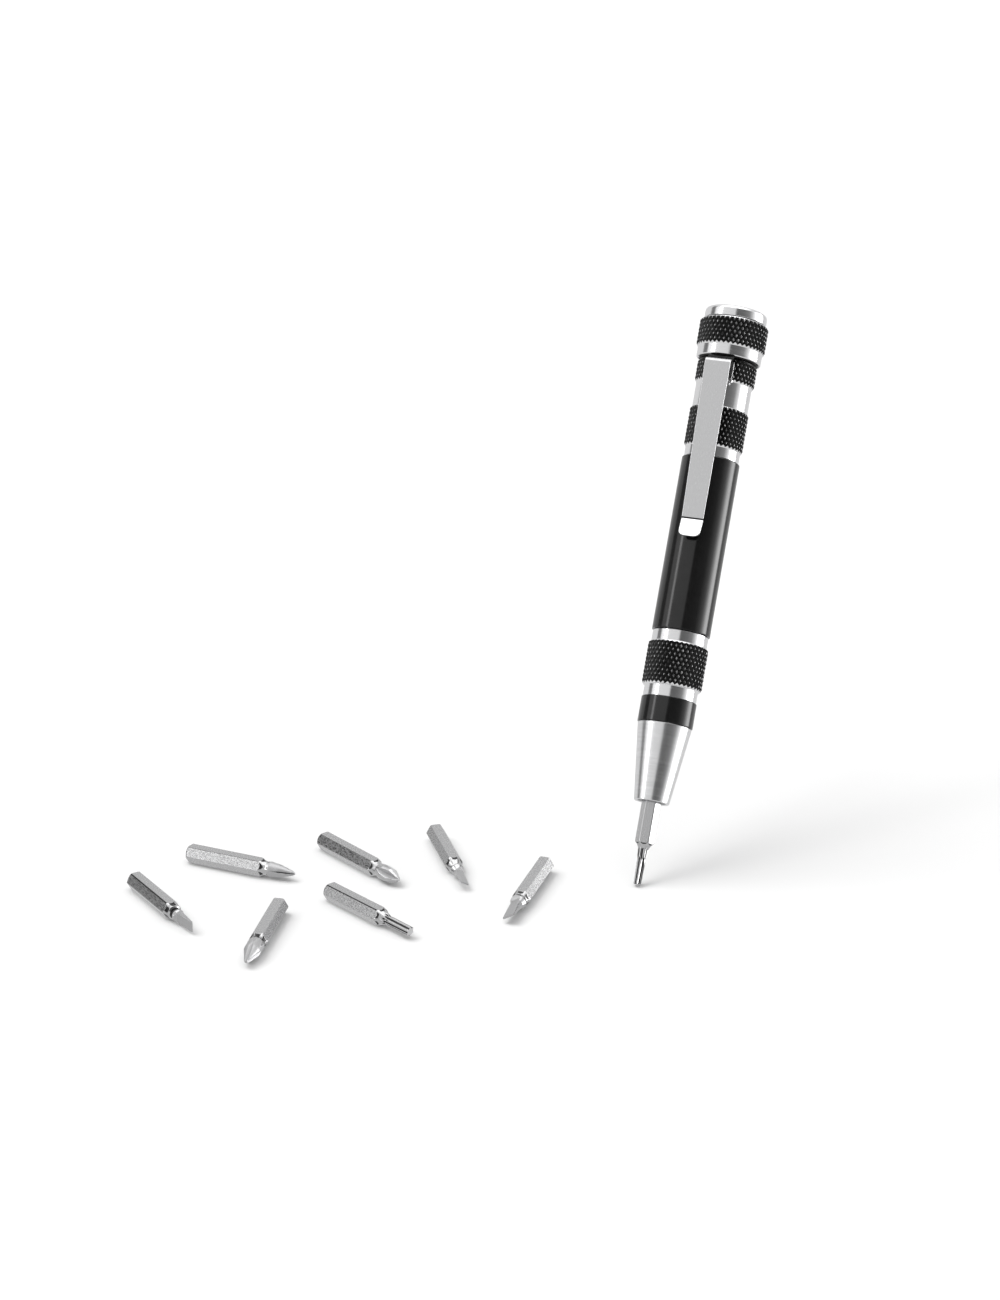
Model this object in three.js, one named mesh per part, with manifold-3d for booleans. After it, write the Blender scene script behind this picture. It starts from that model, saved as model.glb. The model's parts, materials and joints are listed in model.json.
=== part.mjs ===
// Pen-style precision screwdriver with eight 4 mm hex bits: one in the nose, seven loose beside it.
// Units are millimetres and +Z is up. The origin is the point of the bench that the pen's tip rests on.
// The pen leans on that tip. The loose bits lie on the bench, each on one flat of its hexagon.

import * as THREE from 'three';
import { mergeVertices } from 'three/addons/utils/BufferGeometryUtils.js';
import Module from 'manifold-3d';

// How the pen stands: its lean from upright, and the way it leans, counted from +X towards +Y.
const LEAN = THREE.MathUtils.degToRad(34.8);
const LEAN_HEADING = THREE.MathUtils.degToRad(72);

// Heights along the pen's own axis, counted from the tip of the bit.
const NOSE_END = 19.7;
const CONE_TOP = 38.3;
const FRONT_COLLAR_BOTTOM = 44.4;
const FRONT_KNURL_BOTTOM = 47.8;
const FRONT_KNURL_TOP = 57.7;
const BARREL_BOTTOM = 60.7;
const BARREL_TOP = 103.0;
const REAR_KNURL_BOTTOM = 106.0;
const REAR_KNURL_TOP = 115.3;
const NECK_TOP = 122.0;
const REAR_COLLAR_TOP = 126.7;
const SKIRT_BOTTOM = 127.7;
const CAP_KNURL_BOTTOM = 130.8;
const CAP_TOP = 137.2;
const PEN_TOP = 140.1;

// Outside radii of the turned pieces.
const NOSE_END_RADIUS = 4.2;
const CONE_TOP_RADIUS = 6.45;
const BLACK_RING_RADIUS = 6.65;
const FRONT_COLLAR_RADIUS = 6.4;
const FRONT_KNURL_RADIUS = 7.25;
const FRONT_LIP_RADIUS = 6.65;
const BARREL_RADIUS = 7.0;
const REAR_LIP_RADIUS = 6.6;
const REAR_KNURL_RADIUS = 7.12;
const NECK_RADIUS = 6.9;
const UPPER_KNURL_RADIUS = 7.25;
const SKIRT_RADIUS = 7.8;
const CAP_KNURL_RADIUS = 8.35;
const SWIVEL_RADIUS = 7.5;
const SWIVEL_RIM_ROUND = 1.1;

// Inside sizes and clearances.
const SLIP_GAP = 0.3;
const FACE_GAP = 0.1;
const STORAGE_RADIUS = 5.5;
const STORAGE_FLOOR = 56.0;
const BARREL_SOCKET_RADIUS = 6.35;
const SPIGOT_RADIUS = 6.1;
const SPIGOT_LENGTH = 5.0;
const NOSE_SPIGOT_RADIUS = 4.6;
const NOSE_SPIGOT_TOP = 51.0;
const STUD_LENGTH = 5.8;
const STUD_BORE_RADIUS = 4.3;
const CAP_HOLLOW_TOP = 133.0;
const PIN_RADIUS = 1.5;
const PIN_HEAD_RADIUS = 2.8;
const PIN_HEAD_THICKNESS = 1.0;
const O_RING_SECTION_RADIUS = 0.6;
const O_RING_RADIUS = 6.55;
const O_RING_SINK = 0.15;
const O_RING_SIDE_GAP = 0.25;
const PIN_HOLE_DEPTH = 1.4;

// Edges of the turned pieces: a small break on a plain corner, and wider chamfers.
const EDGE_BREAK = 0.2;
const CHAMFER = 0.3;
const WIDE_CHAMFER = 0.4;

// Bits: a 4 mm hexagon, 28 mm long, seated 8.3 mm deep in the nose.
const HEX_ACROSS_FLATS = 4.0;
const BIT_LENGTH = 28.0;
const BIT_CHAMFER = 0.6;
const BIT_ENVELOPE_MARGIN = 0.05;
const SHOULDER_ROUND = 1.3;
const SHOULDER_LAP = 0.5;
const BLADE_ROOT_HALF = 0.75;
const BLADE_RUN_OUT = 0.8;
const FLUTE_REACH = 4;
const FLUTE_HALF_OPENING = 2.6;
const FLUTE_RISE = 0.55;
const NECK_RUN_OUT = 1.2;
const STAR_END_CHAMFER = 0.1;
const STAR_FLUTE_OFFSET = 0.45;
const DRIVER_BIT_TURN = 15;
const TIP_RADIUS = 1.0;
const SOCKET_RADIUS = 3.1;
const SOCKET_TOP = 32.2;
const SOCKET_FLAT_GAP = 0.2;
const SOCKET_SINK = 0.2;
const BIT_END_GAP = 0.15;
const MAGNET_RADIUS = 1.8;
const MAGNET_LENGTH = 3.0;

// Pocket clip: sheet thickness, widths, and how far its outer face stands from the pen's axis.
const CLIP_SHEET = 0.6;
const CLIP_TOP_WIDTH = 6.6;
const CLIP_FOOT_WIDTH = 5.3;
const CLIP_TOP_REACH = 10.4;
const CLIP_CREASE_REACH = 8.4;
const CLIP_FOOT_REACH = 9.4;
const CLIP_RING_BOTTOM = 126.8;
const CLIP_RING_SHEET = 0.5;
const CLIP_FLANGE_BOTTOM = 121.3;
const CLIP_FLANGE_REACH = 6.95;
const CLIP_CREASE = 87.4;
const CLIP_FOOT_BOTTOM = 82.9;
const CLIP_BEND_RADIUS = 0.9;
const CLIP_CORNER_RADIUS = 1.4;
const CLIP_FLANGE_SINK = 0.45;

// Segments around a full turn, for the large turned pieces and for the bits.
const TURNED_SEGMENTS = 32;
const BIT_SEGMENTS = 18;
const SHOULDER_STEPS = 3;
const FLUTE_SEGMENTS = 10;
const O_RING_STEPS = 10;
const RIM_STEPS = 4;
const CURVE_SEGMENTS = 6;

// How far a cutting solid runs past what it cuts, and how close two corners are the same corner.
const OVERCUT = 1;
const MERGE_DISTANCE = 1e-4;

const wasm = await Module();
wasm.setup();

// ---------- making and joining closed solids ----------

function flippedOutward(geometry) {
  const position = geometry.attributes.position;
  const index = geometry.index.array;
  const a = new THREE.Vector3();
  const b = new THREE.Vector3();
  const c = new THREE.Vector3();
  let volume = 0;
  for (let i = 0; i < index.length; i += 3) {
    a.fromBufferAttribute(position, index[i]);
    b.fromBufferAttribute(position, index[i + 1]);
    c.fromBufferAttribute(position, index[i + 2]);
    volume += a.dot(b.cross(c));
  }
  if (volume < 0) {
    for (let i = 0; i < index.length; i += 3) {
      [index[i + 1], index[i + 2]] = [index[i + 2], index[i + 1]];
    }
  }
  return geometry;
}

// One set of shared corners and no collapsed triangles, with every face pointing out.
function closed(geometry) {
  geometry.deleteAttribute('normal');
  geometry.deleteAttribute('uv');
  const merged = mergeVertices(geometry, MERGE_DISTANCE);
  const kept = [];
  const index = merged.index.array;
  for (let i = 0; i < index.length; i += 3) {
    const [p, q, r] = [index[i], index[i + 1], index[i + 2]];
    if (p !== q && q !== r && r !== p) kept.push(p, q, r);
  }
  merged.setIndex(kept);
  return flippedOutward(merged);
}

// A piece turned on a lathe: profile is a list of [radius, height] around the pen's axis, which is +Z.
function turned(profile, segments = TURNED_SEGMENTS) {
  const points = profile.map(([radius, height]) => new THREE.Vector2(radius, height));
  const geometry = new THREE.LatheGeometry(points, segments);
  geometry.rotateX(Math.PI / 2);
  return closed(geometry);
}

// A turned piece with a hole through it: the profile closes on itself.
function turnedRing(profile, segments = TURNED_SEGMENTS) {
  return turned([...profile, profile[0]], segments);
}

function extruded(shape, depth) {
  return closed(new THREE.ExtrudeGeometry(shape, { depth, bevelEnabled: false, curveSegments: CURVE_SEGMENTS }));
}

function hexagonPrism(acrossFlats, bottom, top) {
  const shape = new THREE.Shape();
  const corner = acrossFlats / Math.sqrt(3);
  for (let i = 0; i < 6; i += 1) {
    const angle = Math.PI / 6 + (i * Math.PI) / 3;
    const x = corner * Math.cos(angle);
    const y = corner * Math.sin(angle);
    if (i === 0) shape.moveTo(x, y);
    else shape.lineTo(x, y);
  }
  shape.closePath();
  return extruded(shape, top - bottom).translate(0, 0, bottom);
}

function box(low, high) {
  const size = [0, 1, 2].map((i) => high[i] - low[i]);
  const centre = [0, 1, 2].map((i) => (high[i] + low[i]) / 2);
  return closed(new THREE.BoxGeometry(...size)).translate(...centre);
}

function solid(geometry) {
  const mesh = new wasm.Mesh({
    numProp: 3,
    vertProperties: new Float32Array(geometry.attributes.position.array),
    triVerts: new Uint32Array(geometry.index.array),
  });
  mesh.merge();
  return new wasm.Manifold(mesh);
}

function geometryOf(manifold) {
  const mesh = manifold.getMesh();
  const geometry = new THREE.BufferGeometry();
  geometry.setAttribute('position', new THREE.BufferAttribute(mesh.vertProperties, 3));
  geometry.setIndex(new THREE.BufferAttribute(mesh.triVerts, 1));
  return geometry;
}

// ---------- finishes ----------

const finishes = {
  brightAluminium: { color: 0xdcdddf, metalness: 0.9, roughness: 0.22 },
  satinAluminium: { color: 0xcfd0d2, metalness: 0.9, roughness: 0.34 },
  blackAnodised: { color: 0x141517, metalness: 0.5, roughness: 0.28 },
  knurledBlack: { color: 0x18191b, metalness: 0.5, roughness: 0.45 },
  clipSteel: { color: 0xbfc0c2, metalness: 0.85, roughness: 0.35 },
  bitSteel: { color: 0xa9abad, metalness: 0.9, roughness: 0.38 },
  rubber: { color: 0x0d0d0e, metalness: 0, roughness: 0.8 },
  magnet: { color: 0x8d9094, metalness: 0.9, roughness: 0.3 },
};

function piece(name, geometry, finish) {
  const mesh = new THREE.Mesh(geometry, new THREE.MeshStandardMaterial(finishes[finish]));
  mesh.name = name;
  return mesh;
}

// ---------- bits ----------

// Each bit stands on its tip along +Z. The envelope is what a lathe would leave of a round bar; where
// it meets the hexagon it gives the chamfered back end and the rounded shoulder in front of the flats.
function bitBlank(hexLength, tipOutline) {
  const shoulder = BIT_LENGTH - hexLength;
  const corner = HEX_ACROSS_FLATS / Math.sqrt(3) + BIT_ENVELOPE_MARGIN;
  const backRadius = corner - BIT_CHAMFER;
  const lastTipRadius = tipOutline.at(-1)[0];
  const roundTop = shoulder + SHOULDER_LAP;
  const outline = [[0, 0], ...tipOutline];
  for (let i = 0; i <= SHOULDER_STEPS; i += 1) {
    const angle = (i / SHOULDER_STEPS) * (Math.PI / 2);
    const radius = lastTipRadius + (corner - lastTipRadius) * Math.sin(angle);
    outline.push([radius, roundTop - SHOULDER_ROUND * Math.cos(angle)]);
  }
  outline.push([corner, BIT_LENGTH - BIT_CHAMFER], [backRadius, BIT_LENGTH], [0, BIT_LENGTH]);
  const envelope = solid(turned(outline, BIT_SEGMENTS));
  return envelope.intersect(solid(hexagonPrism(HEX_ACROSS_FLATS, 0, BIT_LENGTH)));
}

// Blade: two faces milled down to a thin straight edge. Its width lies along one flat's normal.
function slottedBit({ hexLength, bladeWidth, bladeLength, edge }) {
  const half = bladeWidth / 2;
  const blank = bitBlank(hexLength, [
    [half, 0],
    [half, bladeLength],
    [half + CHAMFER, bladeLength + SHOULDER_LAP],
  ]);
  const outside = HEX_ACROSS_FLATS / 2 + OVERCUT;
  const cutter = new THREE.Shape();
  cutter.moveTo(edge / 2, -OVERCUT);
  cutter.lineTo(edge / 2, 0);
  cutter.lineTo(BLADE_ROOT_HALF, bladeLength);
  cutter.lineTo(outside, bladeLength + BLADE_RUN_OUT);
  cutter.lineTo(outside, -OVERCUT);
  cutter.closePath();
  const oneSide = extruded(cutter, 2 * outside).translate(0, 0, -outside).rotateX(Math.PI / 2);
  const otherSide = oneSide.clone().rotateZ(Math.PI);
  const flats = solid(oneSide).add(solid(otherSide)).rotate([0, 0, 90]);
  return geometryOf(blank.subtract(flats));
}

// Cross tip: a pointed cone with four V-shaped flutes that run out towards the shank.
function crossBit({ hexLength, neckRadius, wingRadius, pointRadius, coneLength, wingLength, fluteDepth }) {
  const blank = bitBlank(hexLength, [
    [pointRadius, 0],
    [wingRadius, coneLength],
    [wingRadius, wingLength],
    [neckRadius, wingLength + NECK_RUN_OUT],
  ]);
  const flute = new THREE.Shape();
  flute.moveTo(fluteDepth, 0);
  flute.lineTo(FLUTE_REACH, FLUTE_HALF_OPENING);
  flute.lineTo(FLUTE_REACH, -FLUTE_HALF_OPENING);
  flute.closePath();
  const rise = wingRadius * FLUTE_RISE;
  const fluteTilt = THREE.MathUtils.radToDeg(Math.atan2(rise, wingLength));
  const cutter = solid(extruded(flute, wingLength + 3 * OVERCUT).translate(0, 0, -OVERCUT));
  let cut = blank;
  for (let i = 0; i < 4; i += 1) {
    cut = cut.subtract(cutter.rotate([0, fluteTilt, 0]).rotate([0, 0, 90 * i]));
  }
  return geometryOf(cut);
}

// Star tip: a straight post with six round flutes.
function starBit({ hexLength, postRadius, postLength, fluteRadius }) {
  const blank = bitBlank(hexLength, [
    [postRadius - STAR_END_CHAMFER, 0],
    [postRadius, EDGE_BREAK],
    [postRadius, postLength],
    [postRadius + EDGE_BREAK, postLength + SHOULDER_LAP],
  ]);
  let cut = blank;
  for (let i = 0; i < 6; i += 1) {
    const angle = (i * Math.PI) / 3;
    const flute = new THREE.CylinderGeometry(fluteRadius, fluteRadius, postLength, FLUTE_SEGMENTS);
    flute.rotateX(Math.PI / 2);
    const reach = postRadius + fluteRadius * STAR_FLUTE_OFFSET;
    flute.translate(reach * Math.cos(angle), reach * Math.sin(angle), postLength / 2 - CHAMFER);
    cut = cut.subtract(solid(closed(flute)));
  }
  return geometryOf(cut);
}

const bitShapes = {
  driver_bit_star: () => starBit({ hexLength: 18.3, postRadius: 1.1, postLength: 7.2, fluteRadius: 0.4 }),
  bit_slotted: () => slottedBit({ hexLength: 18.3, bladeWidth: 2.6, bladeLength: 6.6, edge: 0.4 }),
  bit_slotted_narrow: () => slottedBit({ hexLength: 18.0, bladeWidth: 2.0, bladeLength: 7.0, edge: 0.35 }),
  bit_slotted_wide: () => slottedBit({ hexLength: 18.6, bladeWidth: 2.9, bladeLength: 7.0, edge: 0.45 }),
  bit_cross_fine: () => crossBit({
    hexLength: 19.5, neckRadius: 1.35, wingRadius: 1.45, pointRadius: 0.3,
    coneLength: 4.6, wingLength: 5.4, fluteDepth: 0.32,
  }),
  bit_cross_winged: () => crossBit({
    hexLength: 19.5, neckRadius: 1.3, wingRadius: 1.85, pointRadius: 0.35,
    coneLength: 3.4, wingLength: 5.2, fluteDepth: 0.36,
  }),
  bit_cross: () => crossBit({
    hexLength: 18.0, neckRadius: 1.8, wingRadius: 1.95, pointRadius: 0.4,
    coneLength: 4.6, wingLength: 6.8, fluteDepth: 0.38,
  }),
  bit_star: () => starBit({ hexLength: 18.1, postRadius: 1.25, postLength: 7.2, fluteRadius: 0.42 }),
};

// Where each loose bit lies: the middle of its back end, the way its tip points from +X, and the
// flat it lies on, as a roll about its own axis in steps of 60 degrees.
const looseBits = [
  { name: 'bit_slotted', x: -118.5, y: -0.8, heading: -57, roll: 0 },
  { name: 'bit_cross_fine', x: -106.6, y: 12.7, heading: -23, roll: 0 },
  { name: 'bit_cross_winged', x: -75.0, y: 19.5, heading: -48, roll: 0 },
  { name: 'bit_star', x: -72.5, y: -6.3, heading: -46, roll: 0 },
  { name: 'bit_slotted_narrow', x: -48.2, y: 24.0, heading: -74.5, roll: 120 },
  { name: 'bit_slotted_wide', x: -21.7, y: 7.2, heading: -108.5, roll: 60 },
  { name: 'bit_cross', x: -83.6, y: -13.4, heading: -103, roll: 0 },
];

function looseBit({ name, x, y, heading, roll }) {
  const mesh = piece(name, bitShapes[name](), 'bitSteel');
  mesh.geometry.rotateZ(THREE.MathUtils.degToRad(roll));
  const turn = THREE.MathUtils.degToRad(heading);
  mesh.rotation.order = 'ZYX';
  mesh.rotation.set(0, -Math.PI / 2, turn);
  mesh.position.set(
    x + BIT_LENGTH * Math.cos(turn),
    y + BIT_LENGTH * Math.sin(turn),
    HEX_ACROSS_FLATS / 2,
  );
  return mesh;
}

// ---------- nose ----------

function noseCone() {
  const boreRadius = SOCKET_RADIUS + SLIP_GAP;
  return turned([
    [0, NOSE_SPIGOT_TOP],
    [NOSE_SPIGOT_RADIUS - WIDE_CHAMFER, NOSE_SPIGOT_TOP],
    [NOSE_SPIGOT_RADIUS, NOSE_SPIGOT_TOP - WIDE_CHAMFER],
    [NOSE_SPIGOT_RADIUS, CONE_TOP],
    [CONE_TOP_RADIUS, CONE_TOP],
    [NOSE_END_RADIUS, NOSE_END + WIDE_CHAMFER],
    [NOSE_END_RADIUS - CHAMFER, NOSE_END],
    [boreRadius, NOSE_END],
    [boreRadius, SOCKET_TOP + SLIP_GAP],
    [0, SOCKET_TOP + SLIP_GAP],
  ]);
}

// Steel insert with the hexagon hole for the bit, and a round pocket behind it for the magnet.
function hexSocket() {
  const body = solid(turned([
    [0, NOSE_END + SOCKET_SINK],
    [SOCKET_RADIUS, NOSE_END + SOCKET_SINK],
    [SOCKET_RADIUS, SOCKET_TOP],
    [0, SOCKET_TOP],
  ]));
  const holeAcrossFlats = HEX_ACROSS_FLATS + 2 * SOCKET_FLAT_GAP;
  const hexHole = solid(hexagonPrism(holeAcrossFlats, NOSE_END - OVERCUT, BIT_LENGTH + BIT_END_GAP));
  const pocketRadius = MAGNET_RADIUS + SLIP_GAP;
  const pocketTop = BIT_LENGTH + MAGNET_LENGTH + 2 * SLIP_GAP;
  const pocket = solid(turned([
    [0, BIT_LENGTH - OVERCUT],
    [pocketRadius, BIT_LENGTH - OVERCUT],
    [pocketRadius, pocketTop],
    [0, pocketTop],
  ], BIT_SEGMENTS));
  return geometryOf(body.subtract(hexHole.rotate([0, 0, DRIVER_BIT_TURN])).subtract(pocket));
}

function socketMagnet() {
  const bottom = BIT_LENGTH + SLIP_GAP;
  return turned([
    [0, bottom],
    [MAGNET_RADIUS, bottom],
    [MAGNET_RADIUS, bottom + MAGNET_LENGTH],
    [0, bottom + MAGNET_LENGTH],
  ], BIT_SEGMENTS);
}

function blackRing() {
  const bore = NOSE_SPIGOT_RADIUS + SLIP_GAP;
  return turnedRing([
    [bore, CONE_TOP + FACE_GAP],
    [BLACK_RING_RADIUS, CONE_TOP + FACE_GAP],
    [BLACK_RING_RADIUS, FRONT_COLLAR_BOTTOM - FACE_GAP],
    [bore, FRONT_COLLAR_BOTTOM - FACE_GAP],
  ]);
}

// ---------- collars and barrel ----------

// Turned from one bar: a socket for the nose below, a knurled band, and a spigot for the barrel above.
function frontCollar() {
  const noseBore = NOSE_SPIGOT_RADIUS + SLIP_GAP;
  return turned([
    [0, NOSE_SPIGOT_TOP + SLIP_GAP],
    [noseBore, NOSE_SPIGOT_TOP + SLIP_GAP],
    [noseBore, FRONT_COLLAR_BOTTOM],
    [FRONT_COLLAR_RADIUS, FRONT_COLLAR_BOTTOM],
    [FRONT_COLLAR_RADIUS, FRONT_KNURL_BOTTOM - CHAMFER],
    [FRONT_KNURL_RADIUS, FRONT_KNURL_BOTTOM + CHAMFER],
    [FRONT_KNURL_RADIUS, FRONT_KNURL_TOP - CHAMFER],
    [FRONT_LIP_RADIUS, FRONT_KNURL_TOP + EDGE_BREAK],
    [FRONT_LIP_RADIUS, BARREL_BOTTOM - FACE_GAP],
    [SPIGOT_RADIUS, BARREL_BOTTOM - FACE_GAP],
    [SPIGOT_RADIUS, BARREL_BOTTOM + SPIGOT_LENGTH],
    [STORAGE_RADIUS, BARREL_BOTTOM + SPIGOT_LENGTH],
    [STORAGE_RADIUS, STORAGE_FLOOR],
    [0, STORAGE_FLOOR],
  ]);
}

function barrel() {
  const socketDepth = SPIGOT_LENGTH + SLIP_GAP;
  return turnedRing([
    [BARREL_SOCKET_RADIUS, BARREL_BOTTOM],
    [BARREL_RADIUS - EDGE_BREAK, BARREL_BOTTOM],
    [BARREL_RADIUS, BARREL_BOTTOM + EDGE_BREAK],
    [BARREL_RADIUS, BARREL_TOP - WIDE_CHAMFER],
    [BARREL_RADIUS - CHAMFER, BARREL_TOP],
    [BARREL_SOCKET_RADIUS, BARREL_TOP],
    [BARREL_SOCKET_RADIUS, BARREL_TOP - socketDepth],
    [STORAGE_RADIUS, BARREL_TOP - socketDepth],
    [STORAGE_RADIUS, BARREL_BOTTOM + socketDepth],
    [BARREL_SOCKET_RADIUS, BARREL_BOTTOM + socketDepth],
  ]);
}

// Turned from one bar: two knurled bands with a waist between, open right through for the stored bits.
function rearCollar() {
  return turnedRing([
    [STORAGE_RADIUS, BARREL_TOP - SPIGOT_LENGTH],
    [SPIGOT_RADIUS, BARREL_TOP - SPIGOT_LENGTH],
    [SPIGOT_RADIUS, BARREL_TOP + FACE_GAP],
    [REAR_LIP_RADIUS, BARREL_TOP + FACE_GAP],
    [REAR_LIP_RADIUS, REAR_KNURL_BOTTOM - EDGE_BREAK],
    [REAR_KNURL_RADIUS, REAR_KNURL_BOTTOM + CHAMFER],
    [REAR_KNURL_RADIUS, REAR_KNURL_TOP - EDGE_BREAK],
    [NECK_RADIUS, REAR_KNURL_TOP + EDGE_BREAK],
    [NECK_RADIUS, NECK_TOP - EDGE_BREAK],
    [UPPER_KNURL_RADIUS, NECK_TOP + CHAMFER],
    [UPPER_KNURL_RADIUS, REAR_COLLAR_TOP],
    [STORAGE_RADIUS + SLIP_GAP, REAR_COLLAR_TOP],
    [STORAGE_RADIUS + SLIP_GAP, REAR_COLLAR_TOP - STUD_LENGTH],
    [STORAGE_RADIUS, REAR_COLLAR_TOP - STUD_LENGTH - CHAMFER],
  ]);
}

// ---------- cap ----------

// Knurled cap with its silver skirt and the hollow stud that screws into the rear collar. The stud's
// thread is left plain.
function endCap() {
  const studBottom = SKIRT_BOTTOM - STUD_LENGTH;
  const grooveTop = SKIRT_BOTTOM + 2 * O_RING_SECTION_RADIUS;
  const grooveRadius = O_RING_RADIUS + O_RING_SECTION_RADIUS + O_RING_SIDE_GAP;
  const pinBore = PIN_RADIUS + SLIP_GAP;
  return turnedRing([
    [STUD_BORE_RADIUS, studBottom],
    [STORAGE_RADIUS, studBottom],
    [STORAGE_RADIUS, grooveTop],
    [grooveRadius, grooveTop],
    [grooveRadius, SKIRT_BOTTOM],
    [SKIRT_RADIUS, SKIRT_BOTTOM],
    [SKIRT_RADIUS, CAP_KNURL_BOTTOM - EDGE_BREAK],
    [CAP_KNURL_RADIUS, CAP_KNURL_BOTTOM + CHAMFER],
    [CAP_KNURL_RADIUS, CAP_TOP - WIDE_CHAMFER],
    [SWIVEL_RADIUS + EDGE_BREAK, CAP_TOP],
    [pinBore, CAP_TOP],
    [pinBore, CAP_HOLLOW_TOP],
    [STUD_BORE_RADIUS, CAP_HOLLOW_TOP],
  ]);
}

function capORing() {
  const centre = SKIRT_BOTTOM + O_RING_SECTION_RADIUS - O_RING_SINK;
  const section = [];
  for (let i = 0; i < O_RING_STEPS; i += 1) {
    const angle = (i / O_RING_STEPS) * Math.PI * 2;
    section.push([
      O_RING_RADIUS + O_RING_SECTION_RADIUS * Math.cos(angle),
      centre + O_RING_SECTION_RADIUS * Math.sin(angle),
    ]);
  }
  return turnedRing(section);
}

// The free-turning disc that a fingertip presses on, with a rounded rim and a blind hole for its pin.
function swivelTop() {
  const bottom = CAP_TOP + SLIP_GAP;
  const pinHole = PIN_RADIUS + SLIP_GAP;
  const holeTop = bottom + PIN_HOLE_DEPTH;
  const profile = [[0, holeTop], [pinHole, holeTop], [pinHole, bottom], [SWIVEL_RADIUS, bottom]];
  for (let i = 0; i <= RIM_STEPS; i += 1) {
    const angle = (i / RIM_STEPS) * (Math.PI / 2);
    profile.push([
      SWIVEL_RADIUS - SWIVEL_RIM_ROUND * (1 - Math.cos(angle)),
      PEN_TOP - SWIVEL_RIM_ROUND * (1 - Math.sin(angle)),
    ]);
  }
  profile.push([0, PEN_TOP]);
  return turned(profile);
}

// Rivet that holds the disc: its head turns inside the cap's hollow, under the cap's web.
function swivelPin() {
  const headTop = CAP_HOLLOW_TOP - SLIP_GAP;
  return turned([
    [0, headTop - PIN_HEAD_THICKNESS],
    [PIN_HEAD_RADIUS, headTop - PIN_HEAD_THICKNESS],
    [PIN_HEAD_RADIUS, headTop],
    [PIN_RADIUS, headTop],
    [PIN_RADIUS, CAP_TOP + PIN_HOLE_DEPTH],
    [0, CAP_TOP + PIN_HOLE_DEPTH],
  ], BIT_SEGMENTS);
}

// ---------- pocket clip ----------

// One strip of sheet seen from the side, in the plane through the pen's axis: x is the reach from
// the axis and y the height. It runs in from the ring, bends down, and ends in the flared foot.
function clipSideProfile() {
  const top = CLIP_RING_BOTTOM + CLIP_RING_SHEET;
  const innerTop = top - CLIP_SHEET;
  const shape = new THREE.Shape();
  shape.moveTo(CLIP_FLANGE_REACH, top);
  shape.lineTo(CLIP_TOP_REACH - CLIP_BEND_RADIUS, top);
  shape.quadraticCurveTo(CLIP_TOP_REACH, top, CLIP_TOP_REACH, top - CLIP_BEND_RADIUS);
  shape.lineTo(CLIP_CREASE_REACH, CLIP_CREASE);
  shape.lineTo(CLIP_FOOT_REACH, CLIP_FOOT_BOTTOM);
  shape.lineTo(CLIP_FOOT_REACH - CLIP_SHEET, CLIP_FOOT_BOTTOM);
  shape.lineTo(CLIP_CREASE_REACH - CLIP_SHEET, CLIP_CREASE);
  shape.lineTo(CLIP_TOP_REACH - CLIP_SHEET, innerTop);
  shape.lineTo(CLIP_FLANGE_REACH, innerTop);
  shape.closePath();
  return shape;
}

// The same strip seen from the front: wide at the top, narrower at the foot, with rounded corners.
function clipFrontOutline() {
  const top = CLIP_RING_BOTTOM + CLIP_RING_SHEET;
  const halfTop = CLIP_TOP_WIDTH / 2;
  const halfFoot = CLIP_FOOT_WIDTH / 2;
  const corner = CLIP_CORNER_RADIUS;
  const bottom = CLIP_FOOT_BOTTOM;
  const shape = new THREE.Shape();
  shape.moveTo(halfTop, top + OVERCUT);
  shape.lineTo(halfTop, CLIP_FLANGE_BOTTOM);
  shape.lineTo(halfFoot, CLIP_CREASE);
  shape.lineTo(halfFoot, bottom + corner);
  shape.quadraticCurveTo(halfFoot, bottom, halfFoot - corner, bottom);
  shape.lineTo(corner - halfFoot, bottom);
  shape.quadraticCurveTo(-halfFoot, bottom, -halfFoot, bottom + corner);
  shape.lineTo(-halfFoot, CLIP_CREASE);
  shape.lineTo(-halfTop, CLIP_FLANGE_BOTTOM);
  shape.lineTo(-halfTop, top + OVERCUT);
  shape.closePath();
  return shape;
}

// Both views are stood up on +Z: the side view spans the clip's width, the front view its reach.
function clipStrip() {
  const side = extruded(clipSideProfile(), CLIP_TOP_WIDTH + 2 * OVERCUT);
  side.translate(0, 0, -CLIP_TOP_WIDTH / 2 - OVERCUT).rotateX(Math.PI / 2);
  const front = extruded(clipFrontOutline(), CLIP_TOP_REACH);
  front.rotateX(Math.PI / 2).rotateZ(Math.PI / 2).translate(OVERCUT, 0, 0);
  return solid(side).intersect(solid(front));
}

// A box around the strip between two heights, to cut the strip in two with.
function clipStretch(bottom, top) {
  return solid(box([0, -CLIP_TOP_WIDTH, bottom], [CLIP_TOP_REACH + OVERCUT, CLIP_TOP_WIDTH, top]));
}

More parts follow.
